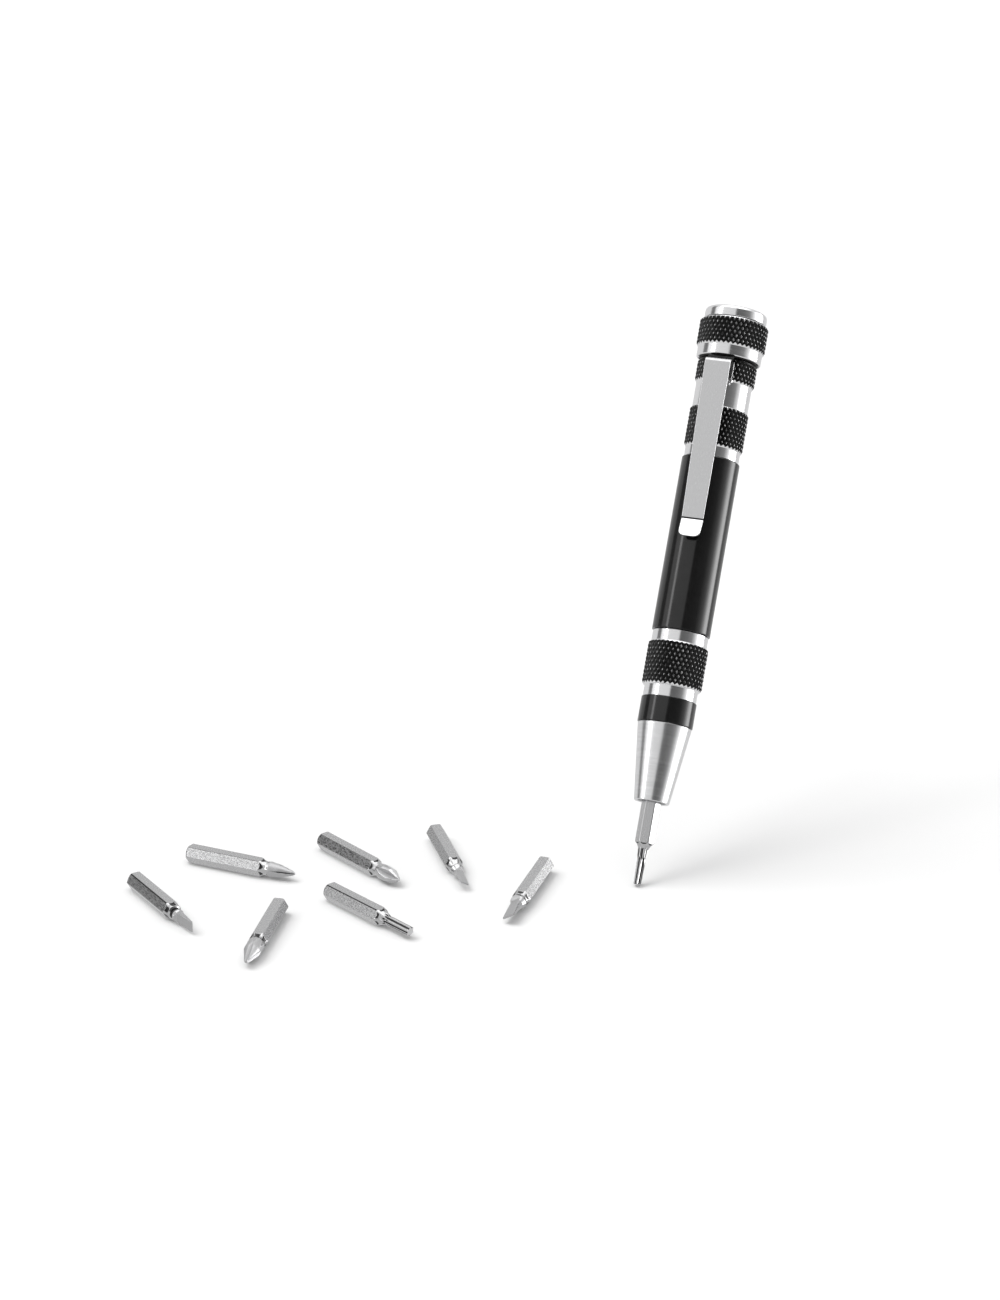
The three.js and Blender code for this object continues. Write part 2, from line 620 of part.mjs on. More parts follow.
// Everything above the flanges' lower end stays stiff: the ring, the bend and the two side flanges.
function clipRing() {
  const top = CLIP_RING_BOTTOM + CLIP_RING_SHEET;
  const ring = solid(turnedRing([
    [STORAGE_RADIUS + SLIP_GAP, CLIP_RING_BOTTOM],
    [UPPER_KNURL_RADIUS, CLIP_RING_BOTTOM],
    [UPPER_KNURL_RADIUS, top],
    [STORAGE_RADIUS + SLIP_GAP, top],
  ]));
  const stiffPart = clipStretch(CLIP_FLANGE_BOTTOM, top + OVERCUT);
  let whole = ring.add(clipStrip().intersect(stiffPart));
  const flangeTop = top - CLIP_SHEET;
  for (const side of [-1, 1]) {
    const outer = (side * CLIP_TOP_WIDTH) / 2;
    const inner = outer - side * CLIP_SHEET;
    const flange = box(
      [CLIP_FLANGE_REACH, Math.min(inner, outer), CLIP_FLANGE_BOTTOM],
      [CLIP_TOP_REACH - CLIP_FLANGE_SINK, Math.max(inner, outer), flangeTop + FACE_GAP],
    );
    whole = whole.add(solid(flange));
  }
  return geometryOf(whole);
}

// The springy blade below the flanges.
function clipLeaf() {
  const springPart = clipStretch(CLIP_FOOT_BOTTOM - OVERCUT, CLIP_FLANGE_BOTTOM - SLIP_GAP);
  return geometryOf(clipStrip().intersect(springPart));
}

// ---------- the assembly ----------

const pen = new THREE.Group();
pen.rotation.order = 'ZYX';
pen.rotation.set(0, LEAN, LEAN_HEADING);
// The low edge of the bit's end, on the pen's own +X side, touches the bench at the origin.
pen.position.copy(new THREE.Vector3(-TIP_RADIUS, 0, 0).applyEuler(pen.rotation));

const driverBit = piece('driver_bit_star', bitShapes.driver_bit_star(), 'bitSteel');
driverBit.rotation.z = THREE.MathUtils.degToRad(DRIVER_BIT_TURN);

pen.add(
  driverBit,
  piece('socket_magnet', socketMagnet(), 'magnet'),
  piece('hex_socket', hexSocket(), 'bitSteel'),
  piece('nose_cone', noseCone(), 'satinAluminium'),
  piece('black_ring', blackRing(), 'blackAnodised'),
  piece('front_collar', frontCollar(), 'knurledBlack'),
  piece('barrel', barrel(), 'blackAnodised'),
  piece('rear_collar', rearCollar(), 'knurledBlack'),
  piece('cap_o_ring', capORing(), 'rubber'),
  piece('end_cap', endCap(), 'knurledBlack'),
  piece('swivel_pin', swivelPin(), 'bitSteel'),
  piece('swivel_top', swivelTop(), 'brightAluminium'),
);

// The clip lies on the upper side of the leaning pen.
const clip = new THREE.Group();
clip.rotation.z = Math.PI;
clip.add(
  piece('clip_ring', clipRing(), 'clipSteel'),
  piece('clip_leaf', clipLeaf(), 'clipSteel'),
);
pen.add(clip);

const screwdriverSet = new THREE.Group();
screwdriverSet.add(pen);
for (const placed of looseBits) {
  screwdriverSet.add(looseBit(placed));
}

export default screwdriverSet;
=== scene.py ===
# Pen-style precision screwdriver with eight 4 mm bits: one in its nose and seven lying beside it.
# Sizes are in millimetres, and meshes are brought to metres as they are made.

import json
import math

import bmesh
import bpy
from mathutils import Matrix, Vector


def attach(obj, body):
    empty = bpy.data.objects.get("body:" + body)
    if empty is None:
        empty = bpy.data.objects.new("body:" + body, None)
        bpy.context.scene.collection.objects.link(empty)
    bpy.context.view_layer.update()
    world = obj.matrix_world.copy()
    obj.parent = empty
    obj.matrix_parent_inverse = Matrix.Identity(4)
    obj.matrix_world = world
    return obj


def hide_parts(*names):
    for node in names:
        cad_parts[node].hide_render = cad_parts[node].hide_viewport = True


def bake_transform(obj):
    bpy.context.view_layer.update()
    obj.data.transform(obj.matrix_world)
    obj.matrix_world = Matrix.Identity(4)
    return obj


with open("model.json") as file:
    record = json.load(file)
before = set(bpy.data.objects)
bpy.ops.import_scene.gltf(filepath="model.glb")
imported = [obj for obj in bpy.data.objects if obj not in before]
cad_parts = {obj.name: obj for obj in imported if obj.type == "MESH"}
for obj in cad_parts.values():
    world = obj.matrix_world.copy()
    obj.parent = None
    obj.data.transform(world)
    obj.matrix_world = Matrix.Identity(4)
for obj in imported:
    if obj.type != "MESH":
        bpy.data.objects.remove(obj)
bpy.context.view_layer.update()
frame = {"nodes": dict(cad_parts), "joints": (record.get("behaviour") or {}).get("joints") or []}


# ---------------------------------------------------------------- the camera
# A long lens just under a metre away looks down at the bench, with the pen on the right.

camera_data = bpy.data.cameras.new("camera")
camera_data.lens = 110
camera_data.sensor_width = 36
camera = bpy.data.objects.new("camera", camera_data)
camera.location = (-0.0325, -0.8271, 0.4395)
camera.rotation_euler = (math.radians(65.4), 0, 0)
bpy.context.scene.collection.objects.link(camera)
bpy.context.scene.camera = camera
bpy.context.scene.view_settings.view_transform = "Standard"


# ---------------------------------------------------------------- the pen's own frame
# The pen stands on the tip of its bit and leans back. Its frame has +Z along its axis from the tip
# to the cap, and +Y along the line the pocket clip bends about, so the clip lies on its -X side.

MM = 0.001
SKIRT_BOTTOM = 127.7

joints = {joint["name"]: joint for joint in frame["joints"]}
pen_axis = Vector(joints["handle_lift"]["axis"]).normalized()
pen_y = Vector(joints["clip_flex"]["axis"]).normalized()
pen_x = pen_y.cross(pen_axis)
pen_start = Vector(joints["cap_unscrew"]["pos_m"]) - pen_axis * SKIRT_BOTTOM * MM
pen_place = Matrix.Translation(pen_start) @ Matrix((pen_x, pen_y, pen_axis)).transposed().to_4x4()


# ---------------------------------------------------------------- the bench and the studio light
# A matt white sheet under one broad lamp from the upper left. White panels and black flags stand
# round the pen in line with it, and give its polished metal light and dark bands.

FLOOR_HALF_WIDTH_M = 15
LAMP_DIRECTION = Vector((-0.545, 0.203, 0.814))
LAMP_STRENGTH = 1.75
LAMP_SPREAD = 42
BRIGHTEST_PANEL = 6.2
LOW_ROOM_LIGHT = 0.70
HIGH_ROOM_LIGHT = 1.75

# Bearings round the pen, in degrees from the side that faces the viewer and counted to the right,
# with the brightness that the panels and flags have there.
PANELS = [
    (-111, 0.62),
    (-107, 0.2),
    (-89, 0.14),
    (-84, 0.95),
    (-67, 1.0),
    (-65, 3.4),
    (-59, 3.4),
    (-56, 0.74),
    (-5, 0.70),
    (-1, 0.10),
    (30, 0.14),
    (50, 0.22),
    (62, 0.55),
    (74, 1.0),
    (84, 2.4),
    (98, 6.2),
    (110, 5.6),
    (116, 0.62),
    (146, 0.55),
]
PANELS_FROM = -0.5
PANELS_TO = 0.62

floor_mesh = bpy.data.meshes.new("floor")
floor_mesh.from_pydata(
    [(x * FLOOR_HALF_WIDTH_M, y * FLOOR_HALF_WIDTH_M, 0) for x, y in ((-1, -1), (1, -1), (1, 1), (-1, 1))],
    [],
    [(0, 1, 2, 3)],
)
floor = bpy.data.objects.new("floor", floor_mesh)
bpy.context.scene.collection.objects.link(floor)
floor.visible_glossy = False

white_sheet = bpy.data.materials.new("white_sheet")
white_sheet.use_nodes = True
sheet_shader = white_sheet.node_tree.nodes["Principled BSDF"]
sheet_shader.inputs["Base Color"].default_value = (0.72, 0.72, 0.72, 1)
sheet_shader.inputs["Roughness"].default_value = 1
sheet_shader.inputs["Specular IOR Level"].default_value = 0
floor_mesh.materials.append(white_sheet)

lamp_data = bpy.data.lights.new("lamp", "SUN")
lamp_data.energy = LAMP_STRENGTH
lamp_data.angle = math.radians(LAMP_SPREAD)
lamp = bpy.data.objects.new("lamp", lamp_data)
lamp.rotation_mode = "QUATERNION"
lamp.rotation_quaternion = LAMP_DIRECTION.to_track_quat("Z", "Y")
lamp.visible_glossy = False
bpy.context.scene.collection.objects.link(lamp)

pen_middle = pen_start + pen_axis * 0.5 * SKIRT_BOTTOM * MM
towards_viewer = camera.location - pen_middle
pen_front = (towards_viewer - pen_axis * towards_viewer.dot(pen_axis)).normalized()
pen_right = pen_axis.cross(pen_front)

studio = bpy.data.worlds.new("studio")
studio.use_nodes = True
bpy.context.scene.world = studio
sky = studio.node_tree.nodes
sky_links = studio.node_tree.links
looking = sky.new("ShaderNodeTexCoord").outputs["Generated"]


def share_along(direction):
    """How far the looked-at direction of the sky goes along another direction, from -1 to 1."""
    dot = sky.new("ShaderNodeVectorMath")
    dot.operation = "DOT_PRODUCT"
    sky_links.new(looking, dot.inputs[0])
    dot.inputs[1].default_value = direction
    return dot.outputs["Value"]


def ramped(value, from_low, from_high, to_low, to_high):
    """A value that eases from to_low to to_high while another goes from from_low to from_high."""
    ramp = sky.new("ShaderNodeMapRange")
    ramp.interpolation_type = "SMOOTHSTEP"
    sky_links.new(value, ramp.inputs["Value"])
    numbers = {"From Min": from_low, "From Max": from_high, "To Min": to_low, "To Max": to_high}
    for socket, number in numbers.items():
        ramp.inputs[socket].default_value = number
    return ramp.outputs["Result"]


def sky_sum(operation, first, second):
    sum_node = sky.new("ShaderNodeMath")
    sum_node.operation = operation
    for socket, value in zip(sum_node.inputs, (first, second)):
        if isinstance(value, (int, float)):
            socket.default_value = value
        else:
            sky_links.new(value, socket)
    return sum_node.outputs[0]


bearing = sky_sum("ARCTAN2", share_along(pen_right), share_along(pen_front))
turn_share = sky.new("ShaderNodeMapRange")
sky_links.new(bearing, turn_share.inputs["Value"])
turn_share.inputs["From Min"].default_value = -math.pi
turn_share.inputs["From Max"].default_value = math.pi
panel_ramp = sky.new("ShaderNodeValToRGB")
sky_links.new(turn_share.outputs["Result"], panel_ramp.inputs["Fac"])


panel_stops = panel_ramp.color_ramp.elements
panel_stops[0].color = (0, 0, 0, 0)
panel_stops[1].color = (0, 0, 0, 0)
for panel_bearing, brightness in PANELS:
    stop = panel_stops.new(0.5 + panel_bearing / 360)
    level = brightness / BRIGHTEST_PANEL
    stop.color = (level, level, level, 0 if panel_bearing in (PANELS[0][0], PANELS[-1][0]) else 1)

along_pen = share_along(pen_axis)
low_end = ramped(along_pen, PANELS_FROM, PANELS_FROM + 0.1, 0, 1)
high_end = ramped(along_pen, PANELS_TO - 0.12, PANELS_TO, 1, 0)
above_bench = ramped(share_along((0, 0, 1)), -0.4, -0.2, 0, 1)
panel_share = sky_sum("MULTIPLY", sky_sum("MULTIPLY", low_end, high_end), above_bench)
panel_share = sky_sum("MULTIPLY", panel_share, panel_ramp.outputs["Alpha"])
room_light = ramped(share_along((0, 0, 1)), 0.6, 0.93, LOW_ROOM_LIGHT, HIGH_ROOM_LIGHT)
panel_light = sky_sum("MULTIPLY", panel_ramp.outputs["Color"], BRIGHTEST_PANEL)
panel_part = sky_sum("MULTIPLY", panel_light, panel_share)
room_part = sky_sum("MULTIPLY", room_light, sky_sum("SUBTRACT", 1, panel_share))
light_path = sky.new("ShaderNodeLightPath").outputs["Is Camera Ray"]
backdrop = sky.new("ShaderNodeMix")
sky_links.new(light_path, backdrop.inputs["Factor"])
sky_links.new(sky_sum("ADD", panel_part, room_part), backdrop.inputs["A"])
backdrop.inputs["B"].default_value = 1.05
sky_links.new(backdrop.outputs["Result"], sky["Background"].inputs["Strength"])
sky["Background"].inputs["Color"].default_value = (1, 1, 1, 1)


# ---------------------------------------------------------------- the star bit in the nose
# A 4 mm hexagon steel bit, pressed with six flutes that flare out to the corners of its shank. The
# shank is tumbled and plated to a satin grey, and the working end is left bright.

HALF_FLATS = 2.0
BIT_LENGTH = 28.0
BIT_CORNER = 2.36
BIT_EDGE_ROUND = 0.10
BIT_BACK_CHAMFER = 0.75
BIT_AROUND = 120
DRIVER_BIT_TURN = 8
EASE_STEPS = 4
SHARP_ANGLE = math.radians(38)


def eased(outline):
    """An outline of (radius, height) corners, where a third number rounds the corner."""
    points = []
    for index, (radius, height, *rounding) in enumerate(outline):
        corner = Vector((radius, height))
        if not rounding:
            points.append(corner)
            continue
        before = Vector(outline[index - 1][:2])
        after = Vector(outline[(index + 1) % len(outline)][:2])
        to_before = (before - corner).normalized()
        to_after = (after - corner).normalized()
        reach = rounding[0] / math.tan(to_before.angle(to_after) / 2)
        start = corner + to_before * reach
        end = corner + to_after * reach
        for step in range(EASE_STEPS + 1):
            share = step / EASE_STEPS
            points.append(start.lerp(corner, share).lerp(corner.lerp(end, share), share))
    return points


def skin(rings, loop=False):
    """Corners and faces stretched over rings of points. The ends are closed round their middles,
    and in a loop the last ring joins the first instead."""
    count = len(rings[0])
    corners = [corner for ring in rings for corner in ring]
    faces = []
    for low in range(len(rings) if loop else len(rings) - 1):
        high = (low + 1) % len(rings)
        for here in range(count):
            there = (here + 1) % count
            faces.append((low * count + here, low * count + there, high * count + there, high * count + here))
    if not loop:
        for end in (0, len(rings) - 1):
            middle = len(corners)
            corners.append(sum(rings[end], Vector((0, 0, 0))) / count)
            for here in range(count):
                there = (here + 1) % count
                face = (middle, end * count + there, end * count + here)
                faces.append(face if end == 0 else face[::-1])
    return corners, faces


def add_piece(name, shape, place, finishes, finish_numbers=None):
    """A closed piece from corners in millimetres, smooth except at its sharp edges."""
    corners, faces = shape
    mesh = bpy.data.meshes.new(name)
    mesh.from_pydata([corner * MM for corner in corners], [], faces)
    for finish in finishes:
        mesh.materials.append(finish)
    if finish_numbers:
        mesh.polygons.foreach_set("material_index", finish_numbers)
    shell = bmesh.new()
    shell.from_mesh(mesh)
    bmesh.ops.recalc_face_normals(shell, faces=shell.faces)
    shell.to_mesh(mesh)
    shell.free()
    piece = bpy.data.objects.new(name, mesh)
    bpy.context.scene.collection.objects.link(piece)
    piece.matrix_world = place
    shade(piece)
    return piece


def shade(piece):
    piece.data.polygons.foreach_set("use_smooth", [True] * len(piece.data.polygons))
    piece.data.set_sharp_from_angle(angle=SHARP_ANGLE)
    even = piece.modifiers.new("even_shading", "WEIGHTED_NORMAL")
    even.keep_sharp = True


def new_finish(name, metallic, roughness, colour, grain, relief, coordinates="Object"):
    """A finish with a grain of its own: roughness and colour each go from a low to a high value,
    grain is how fine the marks are along X, Y and Z, per millimetre, and relief is their height."""
    finish = bpy.data.materials.new(name)
    finish.use_nodes = True
    nodes = finish.node_tree.nodes
    links = finish.node_tree.links
    shader = nodes["Principled BSDF"]
    shader.inputs["Metallic"].default_value = metallic
    place = nodes.new("ShaderNodeTexCoord")
    stretch = nodes.new("ShaderNodeVectorMath")
    stretch.operation = "MULTIPLY"
    links.new(place.outputs[coordinates], stretch.inputs[0])
    to_mm = 1 / MM if coordinates == "Object" else 1
    stretch.inputs[1].default_value = [fineness * to_mm for fineness in grain]
    marks = nodes.new("ShaderNodeTexNoise")
    marks.inputs["Scale"].default_value = 1
    marks.inputs["Detail"].default_value = 4
    marks.inputs["Roughness"].default_value = 0.46
    links.new(stretch.outputs["Vector"], marks.inputs["Vector"])
    spread = nodes.new("ShaderNodeMapRange")
    spread.inputs["From Min"].default_value = 0.3
    spread.inputs["From Max"].default_value = 0.7
    spread.inputs["To Min"].default_value = roughness[0]
    spread.inputs["To Max"].default_value = roughness[1]
    links.new(marks.outputs["Fac"], spread.inputs["Value"])
    links.new(spread.outputs["Result"], shader.inputs["Roughness"])
    tint = nodes.new("ShaderNodeValToRGB")
    tint.color_ramp.elements[0].position = 0.3
    tint.color_ramp.elements[1].position = 0.7
    tint.color_ramp.elements[0].color = (colour[0], colour[0], colour[0] * 1.01, 1)
    tint.color_ramp.elements[1].color = (colour[1], colour[1], colour[1] * 1.01, 1)
    links.new(marks.outputs["Fac"], tint.inputs["Fac"])
    links.new(tint.outputs["Color"], shader.inputs["Base Color"])
    bump = nodes.new("ShaderNodeBump")
    bump.inputs["Strength"].default_value = 1
    bump.inputs["Distance"].default_value = relief * MM
    links.new(marks.outputs["Fac"], bump.inputs["Height"])
    links.new(bump.outputs["Normal"], shader.inputs["Normal"])
    return finish


satin_steel = new_finish("satin_steel", 1, (0.18, 0.30), (0.52, 0.66), (6, 6, 4), 0.008)
polished_steel = new_finish("polished_steel", 1, (0.08, 0.15), (0.50, 0.66), (5, 5, 0.8), 0.003)
milled_steel = new_finish("milled_steel", 1, (0.42, 0.55), (0.48, 0.62), (9, 9, 3), 0.006)
# A near-black copy of the steel: painted shade in deep flute cuts, narrow necks, shoulder crescents and some
# edge lines.
painted_shade_steel = new_finish("painted_shade_steel", 1, (0.2, 0.3), (0.03, 0.08), (3, 3, 1), 0.002)
# Lighter and darker copies of the plated steel, each with a coarse mottle, for single flats of the loose
# bits: painted light and painted shade.
shaded_facet_steel = new_finish("shaded_facet_steel", 1, (0.2, 0.36), (0.30, 0.56), (3.6, 3.6, 3), 0.04)
lit_facet_steel = new_finish("lit_facet_steel", 1, (0.2, 0.34), (0.48, 0.98), (3.6, 3.6, 3), 0.05)
deep_shaded_facet_steel = new_finish("deep_shaded_facet_steel", 1, (0.24, 0.4), (0.05, 0.40), (4, 4, 1.8), 0.04)
drawn_steel = new_finish("drawn_steel", 1, (0.22, 0.34), (0.34, 0.64), (7, 7, 1), 0.02)
# A pale copy of the steel, painted highlight along an edge line.
painted_highlight_steel = new_finish("painted_highlight_steel", 1, (0.2, 0.3), (0.90, 0.97), (3, 3, 1), 0.002)
BIT_FINISHES = [
    satin_steel,
    polished_steel,
    milled_steel,
    painted_shade_steel,
    shaded_facet_steel,
    lit_facet_steel,
    deep_shaded_facet_steel,
    drawn_steel,
    painted_highlight_steel,
]
SATIN, POLISHED, MILLED, PAINTED_SHADE, SHADED_FACET, LIT_FACET, DEEP_SHADED_FACET, DRAWN, PAINTED_HIGHLIGHT = range(9)
# How far in and how wide a crescent of painted shade reaches on the shoulder below the middle of each flat;
# no groove is cut there.
SHADE_CRESCENT_DEPTH = 0.27
SHADE_CRESCENT_HALF_WIDTH = math.radians(19)
# Below this turned radius, close to the shoulder, a narrow neck gets painted shade.
NECK_RADIUS = 1.12
# How deep a flute cut must be before it gets painted shade, for star bits and fine cross bits.
STAR_SHADE_CUT_DEPTH = 0.2
FINE_CROSS_SHADE_CUT_DEPTH = 0.22


def softer(first, second, rounding):
    """The smaller of two sizes, with the place where they meet rounded."""
    meeting = max(rounding - abs(first - second), 0) / rounding
    return min(first, second) - meeting * meeting * rounding / 4


def hexagon(angle):
    """From the axis out to the hexagon, whose flats face 0, 60, 120 degrees and so on."""
    turn = abs((angle + math.pi / 6) % (math.pi / 3) - math.pi / 6)
    near_flat = HALF_FLATS / math.cos(turn)
    next_flat = HALF_FLATS / math.cos(math.pi / 3 - turn)
    return softer(near_flat, next_flat, BIT_EDGE_ROUND)


def radius_at(outline, height):
    for low, high in zip(outline, outline[1:]):
        if height <= high.y:
            share = (height - low.y) / max(high.y - low.y, 1e-6)
            return low.x + (high.x - low.x) * min(max(share, 0), 1)
    return outline[-1].x


def bit_shape(working_end, shank_start, cut, flats, shade_cut_depth):
    """A bit standing on its tip: what a lathe leaves of a hexagon bar, then cut at its working end.
    working_end is the turned outline up to the shank, and cut trims a radius at an angle and height.
    flats gives flats, and lines along edges, a finish by the degrees they face, and may give the
    turned point one. Its edge lines are painted highlight and painted shade, and some flats get
    lighter or darker copies of the steel as painted light and shade. Cuts deeper than the depth given
    last get painted shade, and where it is None they are milled bright. The narrow neck, and a thin
    crescent of the shoulder below the middle of each flat, get painted shade too."""
    turned_outline = eased(
        working_end
        + [
            (BIT_CORNER + 0.02, shank_start + 0.5),
            (BIT_CORNER + 0.02, BIT_LENGTH - BIT_BACK_CHAMFER, 0.5),
            (BIT_CORNER - BIT_BACK_CHAMFER * 0.9, BIT_LENGTH, 0.12),
            (0.5, BIT_LENGTH + 0.001),
        ]
    )
    heights = {round(point.y, 3) for point in turned_outline}
    fine_until = shank_start + 0.8
    heights.update(round(step * 0.2, 3) for step in range(int(fine_until / 0.2)))
    heights.update(round(shank_start - 1.4 + step * 0.09, 3) for step in range(24))
    heights.update(fine_until + 2 + step * 2 for step in range(7))
    heights = sorted(height for height in heights if 0 <= height <= BIT_LENGTH + 0.001)
    rings = []
    flat_here = []
    for height in heights:
        ring = []
        row = []
        for step in range(BIT_AROUND):
            angle = 2 * math.pi * step / BIT_AROUND
            turned_radius = radius_at(turned_outline, height)
            radius = softer(hexagon(angle), turned_radius, BIT_EDGE_ROUND)
            trimmed = min(radius, cut(angle, height, radius))
            ring.append(Vector((trimmed * math.cos(angle), trimmed * math.sin(angle), height)))
            turned_away = hexagon(angle) - turned_radius
            turn = abs((angle + math.pi / 6) % (math.pi / 3) - math.pi / 6)
            # Flute cuts deeper than the given depth get painted shade; without one they are milled bright.
            if trimmed < radius - (shade_cut_depth or 0.01):
                row.append(PAINTED_SHADE if shade_cut_depth else MILLED)
            # A narrow neck next to the shoulder gets painted shade.
            elif turned_radius < NECK_RADIUS and height > shank_start - 3:
                row.append(PAINTED_SHADE)
            elif turned_away > 0.01 and height > shank_start + 1:
                row.append(SATIN)
            elif turned_away > 0.01 and height < shank_start - 2:
                row.append(flats.get("point", POLISHED))
            # On the shoulder, a thin crescent below the middle of each flat gets painted shade, and the rest
            # is polished.
            elif turned_away > 0.01:
                row.append(PAINTED_SHADE if turned_away < SHADE_CRESCENT_DEPTH and turn < SHADE_CRESCENT_HALF_WIDTH else POLISHED)
            # The flats and their edge lines take the finishes given in flats: painted highlight and painted
            # shade on edge lines, painted light and shade on some flats.
            else:
                degrees = math.degrees(angle)
                edge_width, edge_finish = flats.get(round(degrees / 60 - 0.5) * 60 + 30, (0, SATIN))
                from_edge = abs(degrees % 60 - 30)
                flat_finish = flats.get(round(degrees / 60) * 60 % 360, SATIN)
                row.append(edge_finish if from_edge < edge_width else flat_finish)
        rings.append(ring)
        flat_here.append(row)
    shape = skin(rings)
    finish_numbers = [number for row in flat_here[:-1] for number in row]
    finish_numbers += [MILLED] * BIT_AROUND + [SATIN] * BIT_AROUND
    return shape, finish_numbers


def smooth_step(value):
    value = min(max(value, 0), 1)
    return value * value * (3 - 2 * value)


def star_flutes(depth, length, scoop_depth, scoop_end):
    """Six round flutes below the hexagon's corners, and a scoop below each flat where they run out."""

    def cut(angle, height, radius):
        flute = (0.5 - 0.5 * math.cos(6 * angle)) ** 0.7
        flute_depth = depth * (1 - smooth_step((height - length) / 1.2))
        scoop = (0.5 + 0.5 * math.cos(6 * angle)) ** 0.9
        rising = smooth_step((height - length + 1) / 1.5)
        scoop_here = scoop_depth * rising * (1 - smooth_step((height - scoop_end) / 0.7))
        return radius - max(flute_depth * flute, scoop_here * scoop)

    return cut


star_working_end = [
    (0.92, 0.0),
    (1.02, 0.12, 0.08),
    (1.20, 7.6, 1.0),
    (1.32, 8.7, 0.5),
    (1.75, 9.5, 0.4),
    (2.2, 9.95, 0.2),
]
# The nose bit's shank has one edge line painted highlight and one painted shade, and its deep flute cuts are
# painted shade.
driver_flats = {150: (3, PAINTED_HIGHLIGHT), 210: (3, PAINTED_SHADE)}
driver_cut = star_flutes(0.32, 5.8, 0.24, 8.3)
driver_shape, driver_finishes = bit_shape(star_working_end, 10.0, driver_cut, driver_flats, STAR_SHADE_CUT_DEPTH)
star_bit = add_piece(
    "star_bit_in_nose",
    driver_shape,
    pen_place @ Matrix.Rotation(math.radians(DRIVER_BIT_TURN), 4, "Z"),
    BIT_FINISHES,
    driver_finishes,
)
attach(star_bit, "driver_bit")
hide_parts("driver_bit_star")


# ---------------------------------------------------------------- the socket in the nose
# A steel insert with a broached hexagon hole, pressed into the nose, and a disc magnet behind the
# bit that keeps it from dropping out.

NOSE_END = 19.7
SOCKET_RADIUS = 3.1
SOCKET_TOP = 32.2
SOCKET_HOLE_SCALE = 1.10
SOCKET_AROUND = 96
MAGNET_RADIUS = 1.8
MAGNET_BOTTOM = 28.3
MAGNET_TOP = 31.3

socket_steel = new_finish("socket_steel", 1, (0.32, 0.48), (0.34, 0.44), (2, 2, 8), 0.003)
magnet_nickel = new_finish("magnet_nickel", 1, (0.14, 0.24), (0.60, 0.68), (2, 2, 2), 0.001)


def socket_ring(height, hole_scale=None, radius=None):
    ring = []
    for step in range(SOCKET_AROUND):
        angle = 2 * math.pi * step / SOCKET_AROUND
        reach = radius or hexagon(angle) * hole_scale
        ring.append(Vector((reach * math.cos(angle), reach * math.sin(angle), height)))
    return ring


socket_rings = [
    socket_ring(NOSE_END + 0.55, hole_scale=SOCKET_HOLE_SCALE),
    socket_ring(NOSE_END + 0.25, hole_scale=SOCKET_HOLE_SCALE * 1.1),
    socket_ring(NOSE_END + 0.25, radius=SOCKET_RADIUS - 0.12),
    socket_ring(NOSE_END + 0.40, radius=SOCKET_RADIUS),
    socket_ring(SOCKET_TOP, radius=SOCKET_RADIUS),
    socket_ring(SOCKET_TOP, radius=MAGNET_RADIUS + 0.3),
    socket_ring(BIT_LENGTH + 0.15, radius=MAGNET_RADIUS + 0.3),
    socket_ring(BIT_LENGTH + 0.15, hole_scale=SOCKET_HOLE_SCALE),
]
nose_socket = add_piece(
    "nose_socket",
    skin(socket_rings, loop=True),
    pen_place @ Matrix.Rotation(math.radians(DRIVER_BIT_TURN), 4, "Z"),
    [socket_steel],
)
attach(nose_socket, "handle")
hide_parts("hex_socket")

TURN_STEPS = 128


def turned(outline, loop=False, steps=TURN_STEPS):
    """Corners and faces of a piece turned on a lathe, from an outline of (radius, height)."""
    rings = []
    for point in eased(outline):
        ring = []
        for step in range(steps):
            angle = 2 * math.pi * step / steps
            ring.append(Vector((point.x * math.cos(angle), point.x * math.sin(angle), point.y)))
        rings.append(ring)
    return skin(rings, loop)


bit_magnet = add_piece(
    "bit_magnet",
    turned(
        [
            (0.8, MAGNET_BOTTOM),
            (MAGNET_RADIUS, MAGNET_BOTTOM, 0.25),
            (MAGNET_RADIUS, MAGNET_TOP, 0.25),
            (0.8, MAGNET_TOP),
        ]
    ),
    pen_place,
    [magnet_nickel],
)
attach(bit_magnet, "handle")
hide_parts("socket_magnet")


# ---------------------------------------------------------------- the nose cone
# Turned from aluminium bar and left clear, with the fine lines of the lathe tool showing. Its rear
# spigot holds the black ring and screws into the front collar.

CONE_TOP = 38.3
NOSE_MOUTH_RADIUS = 4.2
CONE_TOP_RADIUS = 6.45
NOSE_SPIGOT_RADIUS = 4.6
NOSE_SPIGOT_TOP = 51.0
NOSE_BORE_RADIUS = 3.4

turned_satin = new_finish("turned_satin_aluminium", 1, (0.22, 0.27), (0.80, 0.92), (0.12, 0.12, 7), 0.0005)

nose_cone = add_piece(
    "nose_shell",
    turned(
        [
            (NOSE_BORE_RADIUS, SOCKET_TOP + 0.3),
            (NOSE_BORE_RADIUS, NOSE_END + 0.15, 0.1),
            (NOSE_BORE_RADIUS + 0.15, NOSE_END, 0.05),
            (NOSE_MOUTH_RADIUS - 0.12, NOSE_END, 0.05),
            (NOSE_MOUTH_RADIUS, NOSE_END + 0.12, 0.05),
            (CONE_TOP_RADIUS, CONE_TOP - 0.25, 0.1),
            (CONE_TOP_RADIUS - 0.15, CONE_TOP, 0.05),
            (NOSE_SPIGOT_RADIUS, CONE_TOP),
            (NOSE_SPIGOT_RADIUS, NOSE_SPIGOT_TOP - 0.4),
            (NOSE_SPIGOT_RADIUS - 0.4, NOSE_SPIGOT_TOP),
        ]
    ),
    pen_place,
    [turned_satin],
)
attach(nose_cone, "handle")
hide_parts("nose_cone")


# ---------------------------------------------------------------- the gloss black ring
# A short aluminium sleeve, anodised gloss black, trapped between the nose cone and the front collar.

